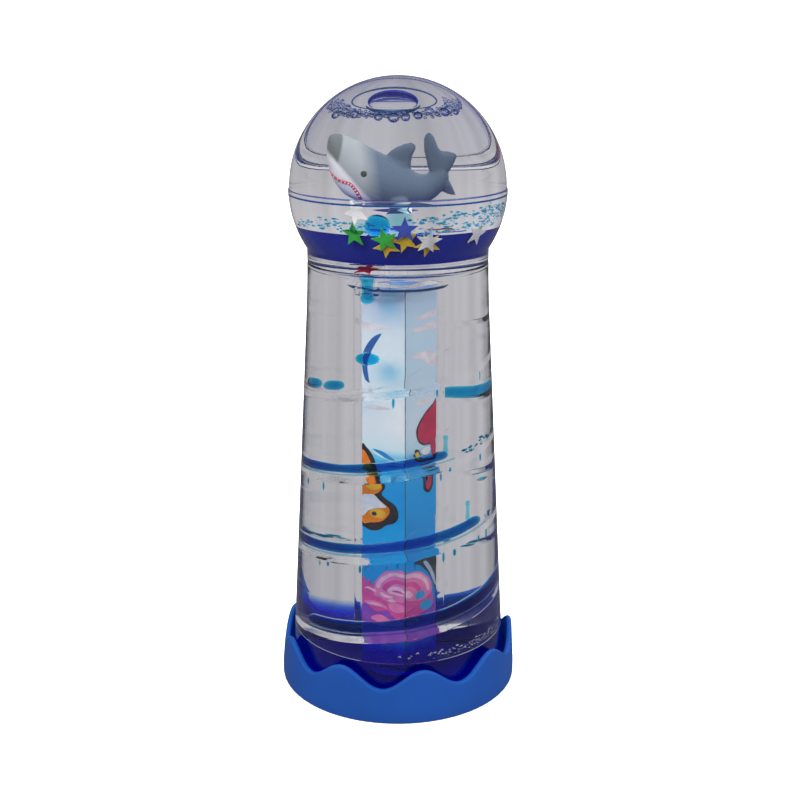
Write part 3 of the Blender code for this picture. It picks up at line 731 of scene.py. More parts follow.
def rounded_square(side, height, edge):
    """The outline of a level square round the axis, turned to the picture column."""
    steps = 5
    reach = (side / 2.0 - edge) * math.sqrt(2.0)
    points = []
    for quarter in range(4):
        facing = COLUMN_EDGE + quarter * 90.0
        middle = around(reach, facing, height)
        points += [middle + around(edge, facing - 45.0 + 90.0 * step / steps, 0.0)
                   for step in range(steps + 1)]
    return points


def make_column():
    """The clear square sleeve round the card, with rounded outer corners."""
    room = 0.3 * MM
    inner_side = COLUMN_SIDE - 2.0 * ((COLUMN_SIDE - CARD_SIDE) / 2.0 - room)
    rows = [rounded_square(side, height, edge) for side, height, edge in (
        (COLUMN_SIDE, COLUMN_BOTTOM, 0.9 * MM), (COLUMN_SIDE, COLUMN_TOP, 0.9 * MM),
        (inner_side, COLUMN_TOP, 0.1 * MM), (inner_side, COLUMN_BOTTOM, 0.1 * MM))]
    add_piece("clear_picture_column", loft(rows, closed=True), "insert", "root",
              "clear_insert", "picture_column")


def ramp_height(angle):
    return RAMP_FRONT_HEIGHT + RAMP_PITCH * angle / 360.0


def column_distance(angle, gap=0.0):
    """How far a square a gap outside the column is from the axis at an angle."""
    from_face = (angle - COLUMN_EDGE) % 90.0 - 45.0
    return (COLUMN_SIDE / 2.0 + gap) / math.cos(math.radians(from_face))


def make_ramp():
    """The spiral shelf, with rounded lips at the column and the tube."""
    lip = 0.35 * MM
    gap = 0.3 * MM
    dish = 0.1 * MM
    step = 3.0
    sections = []
    for station in range(round((RAMP_LAST - RAMP_FIRST) / step) + 1):
        angle = RAMP_FIRST + station * step
        top = ramp_height(angle)
        bottom = top - RAMP_THICKNESS
        near = column_distance(angle) + gap
        far = tube_radius(top, INSIDE) - gap
        profile = [(near, top - lip), (near + lip, top), (blend(near, far, 0.5), top - dish),
                   (far - lip, top), (far, top - lip), (far, bottom + lip),
                   (far - lip, bottom), (near + lip, bottom), (near, bottom + lip)]
        sections.append([around(radius, angle, height) for radius, height in profile])
    add_piece("clear_spiral_ramp", loft(sections), "insert", "root", "clear_insert",
              "spiral_ramp")


def make_nozzles():
    """The conical drip nozzle with its collar, and the straight return nozzle."""
    wall = 0.7 * MM
    flange = 0.8 * MM
    collar_height = 1.6 * MM
    edge = 0.2 * MM
    for cad, tip_radius, top_radius, collar in (("drip_nozzle", 1.5 * MM, 2.0 * MM, 1.3 * MM),
                                                ("return_nozzle", 1.3 * MM, 1.3 * MM, 0.0)):
        low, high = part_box(cad)
        flange_radius = (high.x - low.x) / 2.0
        cone_foot = low.z
        outline = [(top_radius, high.z)]
        if collar:
            cone_foot += collar_height
            outside = tip_radius + collar
            outline += [(tip_radius, cone_foot), (tip_radius, low.z), (outside - edge, low.z),
                        (outside, low.z + edge), (outside, cone_foot - edge),
                        (outside - edge, cone_foot)]
        else:
            outline.append((tip_radius, low.z))
        outline += [(tip_radius + wall, cone_foot), (top_radius + wall, high.z - flange),
                    (flange_radius, high.z - flange), (flange_radius, high.z)]
        add_piece("clear_" + cad, turned(outline, cad), "insert", "root", "clear_insert", cad)


# ---------------------------------------------------------------- liquids

def make_globe_layer():
    """The globe's blue layer, drawn up where it meets the wall."""
    rise = 0.5 * MM
    fall_off = 0.8 * MM
    step_in = 0.3 * MM
    radius = math.hypot(widest("globe_pool"), max(rings("globe_pool")) - GLOBE_CENTRE) + 0.2 * MM
    side = globe_arc(radius, elevation(POOL_BOTTOM + 0.3 * MM, radius),
                     elevation(POOL_TOP, radius), 14)
    top = [(side[-1][0] - step_in * step,
            POOL_TOP + rise * math.exp(-(step_in * step) / fall_off) - rise)
           for step in range(1, 9)]
    outline = [(0.0, POOL_BOTTOM), (side[0][0] - 0.6 * MM, POOL_BOTTOM)] + side + top
    outline.append((0.0, POOL_TOP - rise))
    add_piece("blue_globe_layer", revolve(outline), "layer", "globe_liquid", "blue_liquid",
              "globe_pool")


def make_reservoir():
    """The blue liquid round the column's foot, drawn up where it meets the tube."""
    sag = 0.4 * MM
    rise = 0.9 * MM
    # Share of the way out from the column to the tube, height
    levels = [(0.0, RESERVOIR_BOTTOM), (1.0, RESERVOIR_BOTTOM), (1.0, RESERVOIR_TOP + 0.35 * MM)]
    levels += [(1.0 - 0.02 * step, RESERVOIR_TOP + rise * math.exp(-0.45 * step) - sag)
               for step in range(1, 8)]
    levels += [(0.06, RESERVOIR_TOP - sag), (0.0, RESERVOIR_TOP)]
    rows = []
    for share, height in levels:
        far = eased_tube_radius(height, INSIDE) - 2.0 * FILM
        angles = [COLUMN_EDGE + 360.0 * step / ROUND_STEPS for step in range(ROUND_STEPS)]
        rows.append([around(blend(column_distance(angle, 0.3 * MM), far, share), angle, height)
                     for angle in angles])
    add_piece("blue_reservoir", loft(rows, closed=True), "deep", "root", "blue_liquid",
              "reservoir_pool")


def make_drops():
    """The stream in the nozzle with its hanging drop, and the falling drop."""
    low, high = height_span("nozzle_stream")
    tip = height_span("drip_nozzle")[0]
    top_radius = 1.7 * MM
    neck = 1.2 * MM
    neck_height = 1.6 * MM
    plumpness = 1.15
    drop_radius = (tip - low + 0.4 * MM) / 2.0 * plumpness
    start = math.degrees(math.acos(min(1.0, neck / drop_radius)))
    outline = [(0.0, high), (top_radius, high), (neck, tip + neck_height),
               (neck, tip + 0.2 * MM)]
    outline += arc(0.0, low + drop_radius, drop_radius, start, -90.0, 12)
    add_piece("blue_nozzle_stream", turned(outline, "nozzle_stream"), "liquid", "root",
              "blue_liquid", "nozzle_stream")
    low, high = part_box("falling_drop")
    add_piece("blue_falling_drop", ball((low + high) / 2.0, (high - low) / 2.0, 4), "liquid",
              "falling_drop", "blue_liquid", "falling_drop")


def slug(start, end, half_width, half_height, wander, from_wall):
    """A length of liquid lying on the ramp, rounded at both ends.

    wander is how much its thickness changes, and from_wall its middle's distance from the tube.
    """
    lift = 0.25 * MM
    flatter_below = 0.75
    thinnest = 0.06
    wander_rate = 0.045                             # turns of the noise in each degree
    sides = 20
    sections = max(10, round((end - start) / 2.5))
    crowding = 0.6 if sections > 20 else 1.0        # how much sections gather at the ends
    rows = []
    for index in range(sections + 1):
        share = index / sections
        eased = 0.5 - 0.5 * math.cos(math.pi * share)
        angle = blend(start, end, blend(share, eased, crowding))
        height = ramp_height(angle) + lift + half_height
        distance = tube_radius(height, INSIDE) - from_wall
        from_end = distance * math.radians(min(angle - start, end - angle)) / half_width
        fullness = math.sqrt(max(0.0, 1.0 - max(0.0, 1.0 - from_end) ** 2))
        swell = 1.0 + wander * noise.noise(Vector((angle * wander_rate, 0, 0)))
        fullness = max(thinnest, fullness * swell)
        rows.append([around(distance + fullness * half_width * cosine, angle,
                            height + fullness * half_height
                            * (sine if sine > 0.0 else flatter_below * sine))
                     for cosine, sine in circle(sides)])
    return loft(rows)


def make_ramp_liquid():
    """Slugs with a pale edge by the tube, and beads."""
    for cad, start, end, half_width, half_height in SLUGS:
        long = "slug" in cad
        shape = slug(start, end, half_width, half_height, 0.14 if long else 0.0, 3.0 * MM)
        add_piece("blue_" + cad, shape, "slug" if long else "bead", "ramp_liquid",
                  "blue_liquid", cad)
        if long:
            edge = slug(start + 4.0, end + 3.0, 0.45 * MM, 0.28 * MM, 0.3, 0.65 * MM)
            add_piece("pale_edge_" + cad, edge, "bead", "ramp_liquid", "blue_liquid")


def make_drips():
    """The thin drips that fall from the ramp, a little narrower upwards."""
    narrower = ((0.3, 0.85), (0.7, 0.75))           # share of its height, of its radius
    for cad in ("upper_drip", "lower_drip"):
        low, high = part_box(cad)
        radius = (high.x - low.x) / 2.0
        outline = arc(0.0, low.z + radius, radius, -90.0, 0.0, 5)
        outline += [(radius * width, blend(low.z, high.z, share)) for share, width in narrower]
        outline += arc(0.0, high.z - radius, radius, 0.0, 90.0, 5)
        add_piece("blue_" + cad, turned(outline, cad, 20), "liquid", "falling_drips",
                  "blue_liquid", cad)


# ---------------------------------------------------------------- films and foam

def washer(inner, outer, height, thickness):
    """A thin flat ring about the axis."""
    return revolve([(inner, height), (outer, height), (outer, height + thickness),
                    (inner, height + thickness)])


def band(first, last, inner, outer, low, high):
    """A strip round the axis between two angles, thinner towards both ends."""
    taper_steps = 8.0
    end_share = 0.2
    angles = range(first, last + 1, 2)
    middle = (low + high) / 2.0
    rows = []
    for index, angle in enumerate(angles):
        share = min(index, len(angles) - 1 - index) / taper_steps
        half = (high - low) / 2.0 * min(1.0, end_share + (1.0 - end_share) * share)
        rows.append([around(radius, angle, height) for radius, height in (
            (inner, middle - half), (outer, middle - half), (outer, middle + half),
            (inner, middle + half))])
    return loft(rows)


def seam_film():
    """Liquid that fills the groove between the globe's lips."""
    groove = [(LIP_RADIUS - depth * MM, half * MM)
              for depth, half in ((0.22, 0.03), (0.10, 0.075), (0.04, 0.14), (0.01, 0.20))]
    return revolve([(radius, SEAM_HEIGHT - half) for radius, half in groove]
                   + [(radius, SEAM_HEIGHT + half) for radius, half in groove[::-1]])


def return_plug():
    """The liquid in the return nozzle's tip."""
    low = height_span("return_nozzle")[0]
    radius = 1.2 * MM
    outline = arc(0.0, low + 0.5 * MM, radius, -90.0, 0.0, 6) + [(radius, low + 1.8 * MM)]
    outline = [(across, max(up, low - 0.2 * MM)) for across, up in outline]
    return turned(outline + [(0.0, low + 1.6 * MM)], "return_nozzle")


def make_films():
    """Blue liquid drawn by capillarity into the seam and the joints of the neck."""
    globe_wall = INNER_RADIUS * math.cos(math.radians(elevation(SEAM_HEIGHT, INNER_RADIUS)))
    tube_wall = tube_radius(TUBE_TOP - 1.0 * MM, INSIDE)
    column_reach = COLUMN_SIDE / math.sqrt(2.0)
    cap_bottom = height_span("column_cap")[0]
    for name, finish, shape in (
            ("blue_seam_film", "seam_line", seam_film()),
            ("blue_upper_seam_film", "seam",
             band(-60, 96, globe_wall - 0.2 * MM, globe_wall - FILM, SEAM_HEIGHT + 1.0 * MM,
                  SEAM_HEIGHT + 1.16 * MM)),
            ("blue_neck_film", "seam",
             washer(SPIGOT_RADIUS + FILM, tube_wall - FILM, TUBE_TOP - 0.9 * MM, 0.6 * MM)),
            ("blue_plate_film", "seam",
             washer(PLATE_RADIUS - 2.6 * MM, PLATE_RADIUS, PLATE_BOTTOM - 0.22 * MM,
                    0.12 * MM)),
            ("blue_cap_film", "seam_line",
             band(-86, 86, column_reach + FILM, column_reach + 0.4 * MM,
                  COLUMN_TOP - 0.2 * MM, cap_bottom + 0.05 * MM)),
            ("blue_return_plug", "liquid", return_plug())):
        add_piece(name, shape, finish, "root", "blue_liquid")


def on_oval(middle, half_width, half_depth, angle):
    """The point of a level oval at an angle in degrees from its front."""
    turn = math.radians(angle)
    return middle + Vector((half_width * math.sin(turn), -half_depth * math.cos(turn), 0.0))


def on_raft(angle, share):
    """The point of the raft at an angle and a share of the way out to its edge."""
    return on_oval(FOAM_MIDDLE, FOAM_HALF_WIDTH * share, FOAM_HALF_DEPTH * share, angle)


def strand(path, sizes, closed=False):
    """A rounded strand along points, with its own (half width, half height) at each point."""
    last = len(path) - 1
    rows = []
    for index, (point, (half_width, half_height)) in enumerate(zip(path, sizes)):
        before, after = index - 1, (index + 1) % len(path)
        if not closed:
            before, after = max(index - 1, 0), min(index + 1, last)
        across = (path[after] - path[before]).cross(Vector((0.0, 0.0, 1.0))).normalized()
        rows.append([point + across * half_width * cosine + Vector((0.0, 0.0, half_height * sine))
                     for cosine, sine in circle(10)])
    return loft(rows, closed)


def one_of(rng, *stretches):
    """An angle from one of some stretches; a stretch given twice is twice as likely."""
    return rng.choice([rng.uniform(*stretch) for stretch in stretches])


def scattered(rng, count, draw, overlap=0.0):
    """Balls (centre, radius) drawn one at a time, keeping only those clear of the others."""
    kept = []
    tries = 0
    while len(kept) < count and tries < count * 60:
        tries += 1
        centre, radius = draw(rng)
        if all((centre - other).length > radius + size - overlap for other, size in kept):
            kept.append((centre, radius))
    return kept


def add_spray(name, balls, finish, body, slot, sizes_of, detail=2, along_wall=False):
    """One piece of small balls; sizes_of gives a ball's half sizes from its radius."""
    shape = bmesh.new()
    for centre, radius in balls:
        sizes = sizes_of(radius)
        facing = math.atan2(centre.x, -centre.y) if along_wall else 0.0
        add_ball(shape, centre, sizes, Matrix.Rotation(facing, 3, "Z"), detail)
    add_piece(name, shape, finish, body, slot)


def make_foam():
    """A raft of small bubbles round a large one, mostly at the raft's left and right."""
    rng = random.Random(7)
    rim_width = 0.28                                # as a share of the raft
    small_beyond = 80.0                             # degrees from the front

    def draw(rng):
        left, right, anywhere = (-92.0, -26.0), (22.0, 92.0), (-115.0, 115.0)
        angle = one_of(rng, left, right, left, right, anywhere)
        radius = rng.choice((0.5, 0.8, 1.1, 1.4)) * MM * rng.uniform(0.8, 1.1)
        if abs(angle) > small_beyond:
            radius *= 0.6
        place = on_raft(angle, 1.0 - rim_width * rng.random() ** 1.3)
        place.z -= rng.uniform(0.0, 1.0) ** 2 * 0.9 * MM
        return place, radius

    def has_room(centre, radius):
        """True inside the dome and outside the large bubble."""
        apart = centre - BUBBLE_MIDDLE
        reach = INNER_RADIUS - radius - FILM
        return ((centre - Vector((0.0, 0.0, GLOBE_CENTRE))).length < reach
                and math.hypot(apart.x / (BUBBLE_HALF.x + radius),
                               apart.y / (BUBBLE_HALF.y + radius)) > 1.0)

    bubbles = [bubble for bubble in scattered(rng, 220, draw) if has_room(*bubble)]
    add_spray("foam_ring", bubbles, "foam", "globe_liquid", "clear_shell",
              lambda radius: (radius, radius, radius * 0.9), detail=3)
    add_piece("large_bubble", ball(BUBBLE_MIDDLE, BUBBLE_HALF, 5), "thin_bubble",
              "globe_liquid", "clear_shell")


def make_foam_edges():
    """Blue liquid drawn along the front of the large bubble and round the raft."""
    front = range(-80, 81, 4)
    middle = BUBBLE_MIDDLE - Vector((0.0, 0.0, 0.5 * MM))
    rim = [on_oval(middle, BUBBLE_HALF.x * 1.06, BUBBLE_HALF.y * 1.06, turn) for turn in front]
    sizes = [(0.30 * MM * math.cos(math.radians(turn)) ** 0.5,
              0.50 * MM * math.cos(math.radians(turn)) ** 0.5) for turn in front]
    add_piece("blue_bubble_rim", strand(rim, sizes), "seam_line", "globe_liquid", "blue_liquid")
    turns = range(0, 360, 4)
    for name, share, thinnest, thickest in (("blue_raft_edge", 1.0, 0.03, 0.15),
                                            ("blue_inner_edge", 0.6, 0.10, 0.25)):
        edge = [on_raft(turn, share) for turn in turns]
        sizes = [(blend(thinnest, thickest, 0.5 - 0.5 * math.cos(math.radians(turn))) * MM,) * 2
                 for turn in turns]
        add_piece(name, strand(edge, sizes, closed=True), "seam_line", "globe_liquid",
                  "blue_liquid")


# ---------------------------------------------------------------- drops and droplets

def make_interface_drops():
    """Drops that sit on the blue layer before they sink into it."""
    level = POOL_TOP - 0.4 * MM
    for name, finish, angle, distance, sizes in (
            ("cyan_surface_drop", "liquid", -15.0, 17.0, (2.8, 2.6, 2.5)),
            ("tinted_surface_dome", "tinted", 1.0, 15.4, (3.0, 2.6, 3.4)),
            ("small_surface_dome", "tinted", -30.0, 15.2, (1.9, 1.9, 1.8))):
        half = Vector(sizes) * MM
        place = around(distance * MM, angle, level + half.z + 0.05 * MM)
        add_piece(name, ball(place, half, 4), finish, "globe_liquid", "blue_liquid")


def make_droplets():
    """Fine droplets left on the globe's wall, on the ramp and on the reservoir."""
    rng = random.Random(21)
    left, right = (-88.0, -18.0), (14.0, 88.0)
    clumps = [(one_of(rng, right, right, left), rng.random()) for _ in range(34)]
    lowest = 127.2 * MM

    def on_globe(rng):
        """In clumps on the globe's inner wall above the blue layer, mostly on the right."""
        angle, share = rng.choice(clumps)
        top = 132.4 if angle > 0.0 else 129.6
        height = (blend(127.4, top, share ** 1.4) + rng.gauss(0.0, 0.45)) * MM
        angle += rng.gauss(0.0, 4.5)
        radius = blend(0.07, 0.36, rng.random() ** 2) * MM
        reach = math.sqrt((INNER_RADIUS - radius - FILM) ** 2 - (height - GLOBE_CENTRE) ** 2)
        return around(reach, angle, max(height, lowest)), radius

    def on_ramp(rng):
        """Along the ramp's outer side between the slugs."""
        start, end = rng.choice(((180.0, 255.0), (428.0, 480.0), (430.0, 610.0), (765.0, 840.0),
                                 (765.0, 860.0), (60.0, 255.0)))
        angle = rng.uniform(start, end)
        radius = rng.uniform(0.2, 0.6) * MM
        height = ramp_height(angle) + radius * 0.7 + FILM
        reach = tube_radius(height, INSIDE) - rng.uniform(0.8, 4.5) * MM
        return around(reach, angle, height), radius

    def under_ramp(rng):
        """Hanging below the ramp's outer side; a drip's length stands for its radius."""
        angle = one_of(rng, (0.0, 180.0), (270.0, 520.0), (600.0, 1200.0))
        length = rng.uniform(0.5, 1.7) * MM
        height = ramp_height(angle) - RAMP_THICKNESS - length - FILM
        reach = tube_radius(height, INSIDE) - rng.uniform(0.9, 3.0) * MM
        return around(reach, angle, height), length

    def on_reservoir(rng):
        """Floating on the reservoir, mostly at its right-hand front."""
        angle = rng.gauss(56.0, 20.0)
        radius = rng.uniform(0.18, 0.5) * MM
        height = RESERVOIR_TOP + radius + 0.6 * MM
        reach = eased_tube_radius(height, INSIDE) - radius - rng.uniform(0.1, 5.0) * MM
        return around(reach, angle, height), radius

    def drip_sizes(length):
        width = rng.uniform(0.14, 0.32) * MM
        return width * 1.4, width, length

    add_spray("globe_wall_droplets", scattered(rng, 620, on_globe, 0.1 * MM), "smear",
              "globe_liquid", "blue_liquid",
              lambda radius: (radius * rng.uniform(1.2, 4.0), radius, radius * 0.9),
              detail=1, along_wall=True)
    add_spray("ramp_droplets", scattered(rng, 190, on_ramp), "smear", "ramp_liquid",
              "blue_liquid", lambda radius: (radius * 1.5, radius, radius * 0.6),
              along_wall=True)
    add_spray("ramp_drips", scattered(rng, 46, under_ramp), "smear", "ramp_liquid",
              "blue_liquid", drip_sizes)
    add_spray("reservoir_foam", scattered(rng, 110, on_reservoir), "foam", "root",
              "clear_shell", lambda radius: (radius, radius, radius))


# ---------------------------------------------------------------- printed picture

def oval(across, up, half_width, half_height):
    return [(across + half_width * cosine, up + half_height * sine)
            for cosine, sine in circle(10)]


def grown(points, amount):
    """Points moved away from their middle by a length."""
    middle = sum((Vector(point) for point in points), Vector((0.0, 0.0))) / len(points)
    return [tuple(Vector(point) + (Vector(point) - middle).normalized() * amount)
            for point in points]


# Printed shapes, from the bottom layer up: ink, outline as (across, up) in millimetres, where
# across runs from a face's left edge and up is the height above PICTURE_ZERO
LEFT_CORAL = oval(6.4, 31.6, 2.9, 4.3)
FISH_BODY = [(0.0, 61.2), (1.8, 61.6), (3.6, 61.2), (4.4, 59.4), (3.6, 57.9), (2.7, 56.9),
             (4.4, 55.2), (6.0, 53.6), (5.6, 51.6), (4.0, 49.8), (1.8, 49.2), (0.0, 49.6)]
FISH_TOP = [(0.0, 68.8), (0.9, 68.2), (1.8, 66.0), (2.3, 63.4), (1.4, 62.6), (0.0, 62.6)]
LEFT_PICTURE = (
    ("cloud", [(0.0, 103.2), (1.6, 103.3), (6.9, 102.2), (3.8, 101.6), (2.2, 101.0),
               (0.0, 101.3)]),
    ("gull", [(4.2, 100.6), (3.2, 98.4), (1.9, 95.4), (1.2, 92.2), (1.5, 88.4), (1.7, 87.4),
              (0.7, 88.2), (0.1, 91.4), (0.2, 94.8), (1.3, 97.8), (2.7, 99.8)]),
    ("cloud", [(0.6, 81.2), (3.0, 81.6), (6.4, 80.9), (3.2, 80.4), (0.4, 80.6)]),
    ("pale_wave", [(2.4, 69.0), (5.0, 68.2), (9.6, 66.9), (9.6, 66.2), (6.4, 66.9), (3.4, 68.0)]),
    ("wave", [(2.3, 69.7), (4.6, 69.2), (6.6, 67.8), (8.0, 66.9), (5.6, 67.3), (3.6, 68.6)]),
    ("wave", [(4.6, 65.6), (7.2, 65.2), (9.6, 64.6), (9.6, 64.2), (6.4, 64.6)]),
    ("dark", [(0.0, 70.4), (0.9, 70.0), (2.3, 67.8), (3.2, 64.6), (3.3, 62.2), (1.6, 61.8),
              (0.0, 62.0)]),
    ("orange", FISH_TOP),
    ("dark", [(0.0, 62.2), (2.0, 62.2), (4.2, 61.8), (5.0, 59.6), (4.2, 57.6), (5.4, 56.2),
              (7.4, 54.6), (8.1, 52.0), (7.2, 50.0), (5.2, 48.9), (3.6, 47.4), (1.8, 47.0),
              (0.4, 47.8), (0.0, 49.0)]),
    ("orange", FISH_BODY),
    ("amber", oval(2.4, 59.6, 1.7, 1.2)),
    ("amber", oval(3.4, 52.0, 1.8, 1.3)),
    ("white", [(0.0, 61.9), (0.9, 62.3), (1.6, 61.3), (1.0, 60.5), (0.0, 60.8)]),
    ("white", [(0.0, 56.2), (1.3, 57.0), (2.6, 57.0), (4.0, 55.4), (5.3, 54.0), (3.4, 53.5),
               (1.5, 52.6), (0.0, 50.9)]),
    ("slate", oval(2.6, 51.8, 0.55, 0.6)),
    ("purple", [(0.0, 27.6), (1.2, 28.2), (3.4, 26.6), (9.6, 25.8), (9.6, 16.5), (0.0, 16.5)]),
    ("rose", [(0.0, 32.4), (0.6, 33.2), (1.0, 31.8), (1.7, 33.0), (2.0, 31.2), (3.0, 32.6),
              (3.8, 30.0), (9.6, 29.0), (9.6, 23.0), (7.0, 22.6), (5.6, 24.6), (3.0, 24.0),
              (0.8, 26.0), (0.0, 25.6)]),
    ("pink", grown(LEFT_CORAL, 0.25)),
    ("blush", LEFT_CORAL),
    ("pink", [(2.6, 28.6), (2.5, 31.0), (3.4, 33.6), (5.2, 35.6), (7.4, 36.4), (9.6, 36.0),
              (9.6, 28.4), (8.0, 27.6), (6.6, 28.2), (5.2, 27.4), (3.8, 28.2)]),
    ("blush", [(3.0, 31.4), (3.9, 33.6), (5.6, 35.2), (7.5, 35.9), (9.6, 35.5), (9.6, 34.6),
               (7.4, 34.9), (5.8, 34.2), (4.4, 32.6), (3.7, 30.8)]),
    ("rose", [(4.4, 31.0), (5.4, 32.8), (7.4, 33.8), (9.6, 33.4), (9.6, 32.6), (7.6, 32.7),
              (6.2, 31.8), (5.4, 30.2)]),
    ("blush", [(5.6, 30.8), (6.8, 31.8), (8.8, 31.8), (9.6, 30.6), (9.6, 29.6), (7.6, 29.5),
               (6.0, 29.9)]),
    ("rose", [(6.4, 30.5), (7.8, 30.9), (9.6, 30.2), (9.6, 29.9), (7.8, 30.2)]),
    ("blush", [(4.2, 29.8), (5.4, 29.2), (6.6, 28.9), (6.8, 28.5), (5.2, 28.4), (4.0, 28.9)]),
    ("blush", [(0.5, 30.2), (1.4, 30.8), (3.0, 30.0), (2.6, 29.6), (1.4, 30.2)]),
    ("pink", [(0.4, 26.4), (2.2, 27.0), (4.6, 26.4), (5.6, 25.2), (3.8, 25.4), (1.6, 25.6)]),
    ("blush", [(1.2, 26.0), (2.6, 26.4), (4.6, 25.8), (3.0, 25.8)]),
    ("pink", [(5.8, 26.8), (7.6, 27.2), (9.6, 26.4), (9.6, 25.2), (8.0, 24.4), (6.4, 25.0)]),
    ("pink", [(2.0, 22.2), (4.2, 23.2), (6.4, 21.6), (8.6, 22.4), (9.4, 20.4), (5.4, 19.8),
              (3.0, 20.6)]),
    ("bubble", oval(0.3, 36.6, 0.7, 1.0)),
    ("sand", oval(2.2, 13.2, 1.0, 0.7)),
    ("sand", oval(5.4, 14.2, 1.4, 0.9)),
    ("sand", oval(8.2, 12.8, 1.0, 0.7)),
)
SAIL = [(9.6, 81.4), (8.4, 80.6), (6.0, 78.2), (4.4, 75.8), (4.0, 74.0), (4.6, 72.0),
        (6.2, 70.7), (8.0, 70.4), (9.6, 70.8)]
RIGHT_PICTURE = (
    ("cloud", [(2.6, 104.6), (5.6, 105.2), (9.6, 106.4), (9.6, 104.6), (6.0, 104.0)]),
    ("cloud", [(1.6, 101.6), (5.0, 102.4), (9.6, 103.0), (9.6, 101.3), (5.0, 101.0)]),
    ("cloud", [(1.6, 94.6), (4.6, 95.6), (9.4, 95.0), (9.6, 92.4), (8.4, 91.0), (5.0, 93.6)]),
    ("cloud", [(3.0, 82.0), (6.0, 83.0), (8.6, 82.2), (6.0, 81.4)]),
    ("dark", grown(SAIL, 0.45)),
    ("crimson", SAIL),
    ("crimson", [(8.2, 71.0), (9.6, 71.0), (9.6, 67.4), (8.6, 67.0)]),
    ("dark", [(3.2, 69.6), (4.6, 69.2), (5.6, 67.0), (8.6, 66.6), (9.6, 67.0), (9.6, 65.2),
              (5.4, 65.2), (3.4, 66.8)]),
    ("amber", [(3.6, 68.8), (4.4, 68.6), (5.0, 67.2), (3.9, 67.2)]),
    ("white", [(5.2, 68.9), (7.8, 69.4), (7.6, 67.6), (6.0, 67.6)]),
    ("dark", [(5.8, 62.9), (7.8, 63.6), (9.4, 63.2), (8.8, 61.6), (8.6, 58.6), (7.5, 57.0),
              (6.1, 58.0), (5.9, 60.2)]),
    ("crimson", [(6.5, 62.4), (7.8, 62.9), (8.3, 61.0), (8.0, 58.8), (7.4, 57.8), (6.7, 58.6),
                 (6.6, 60.4)]),
    ("slate", [(2.8, 38.2), (6.0, 38.7), (9.6, 38.9), (9.6, 28.6), (8.8, 31.0), (7.2, 34.4),
               (5.0, 36.9)]),
    ("mist", [(5.8, 37.6), (7.0, 37.5), (8.8, 34.0), (9.5, 30.4), (9.0, 30.6), (7.6, 34.4)]),
    ("purple", [(0.0, 26.0), (3.0, 26.6), (9.6, 25.0), (9.6, 16.5), (0.0, 16.5)]),
    ("rose", [(0.0, 33.0), (4.0, 33.0), (7.6, 30.0), (8.8, 26.0), (7.4, 23.6), (0.0, 23.0)]),
    ("pink", [(0.0, 35.2), (2.0, 35.8), (5.2, 35.0), (7.8, 32.0), (8.2, 28.6), (5.6, 27.0),
              (2.0, 27.6), (0.0, 29.0)]),
    ("blush", [(0.0, 35.5), (2.2, 35.4), (4.9, 34.5), (7.1, 32.0), (7.6, 29.4), (6.8, 29.6),
               (6.2, 31.6), (4.4, 33.4), (2.2, 34.3), (0.0, 34.5)]),
    ("rose", [(0.0, 33.2), (2.4, 33.0), (4.6, 31.2), (5.4, 28.6), (4.6, 28.4), (3.6, 30.4),
              (1.8, 31.8), (0.0, 32.2)]),
    ("blush", [(0.0, 30.9), (1.2, 30.6), (2.4, 29.2), (1.4, 28.6), (0.0, 29.2)]),
    ("bubble", oval(4.7, 28.6, 1.5, 1.15)),
    ("bubble", oval(6.7, 25.0, 1.8, 1.5)),
    ("pink", [(0.4, 22.0), (2.6, 23.0), (4.4, 21.4), (2.4, 19.8), (0.6, 20.4)]),
    ("sand", oval(2.0, 13.4, 1.2, 0.8)),
    ("sand", oval(6.4, 14.0, 1.5, 0.9)),
)


def print_shape(shape, outline, facing, layer):
    """Add one printed shape to a bmesh, on the card's face that faces an angle."""
    left = around(CARD_SIDE / math.sqrt(2.0), facing - 45.0, 0.0)
    right = around(CARD_SIDE / math.sqrt(2.0), facing + 45.0, 0.0)
    out = around(1.0, facing, 0.0)
    margin = 0.02 * MM
    rows = []
    for lift in (layer + 0.3, layer + 1.0):
        row = []
        for across, up in curve_through(outline, 6, closed=True):
            share = max(margin, min(CARD_SIDE - margin, across * MM)) / CARD_SIDE
            row.append(left.lerp(right, share) + out * (lift * INK_THICKNESS)
                       + Vector((0.0, 0.0, PICTURE_ZERO + up * MM)))
        rows.append(row)
    loft(rows, into=shape)


def make_print():
    """The printed shapes, the same on the back pair of faces as on the front pair."""
    layer_step = 0.35
    inks = {}
    for picture, facing in ((LEFT_PICTURE, -45.0), (RIGHT_PICTURE, 45.0)):
        for layer, (colour, outline) in enumerate(picture):
            shape = inks.setdefault(colour, bmesh.new())
            for turn in (0.0, 180.0):
                print_shape(shape, outline, COLUMN_EDGE + facing + turn, layer * layer_step)
    for colour, shape in inks.items():
        add_piece("print_" + colour, shape, "ink_" + colour, "root", "printed_card")


def make_fold_lines():
    """The card's dark folded edges, at its front and back."""
    reach = CARD_SIDE / math.sqrt(2.0) + 0.06 * MM
    shape = bmesh.new()
    for facing in (COLUMN_EDGE, COLUMN_EDGE + 180.0):
        rows = [[around(reach, facing, height) + around(0.07 * MM, facing + 90.0 * side, 0.0)
                 for side in range(4)] for height in (CARD_BOTTOM, CARD_TOP)]
        loft(rows, into=shape)
    add_piece("card_fold_lines", shape, "ink_slate", "root", "printed_card")


# ---------------------------------------------------------------- shark

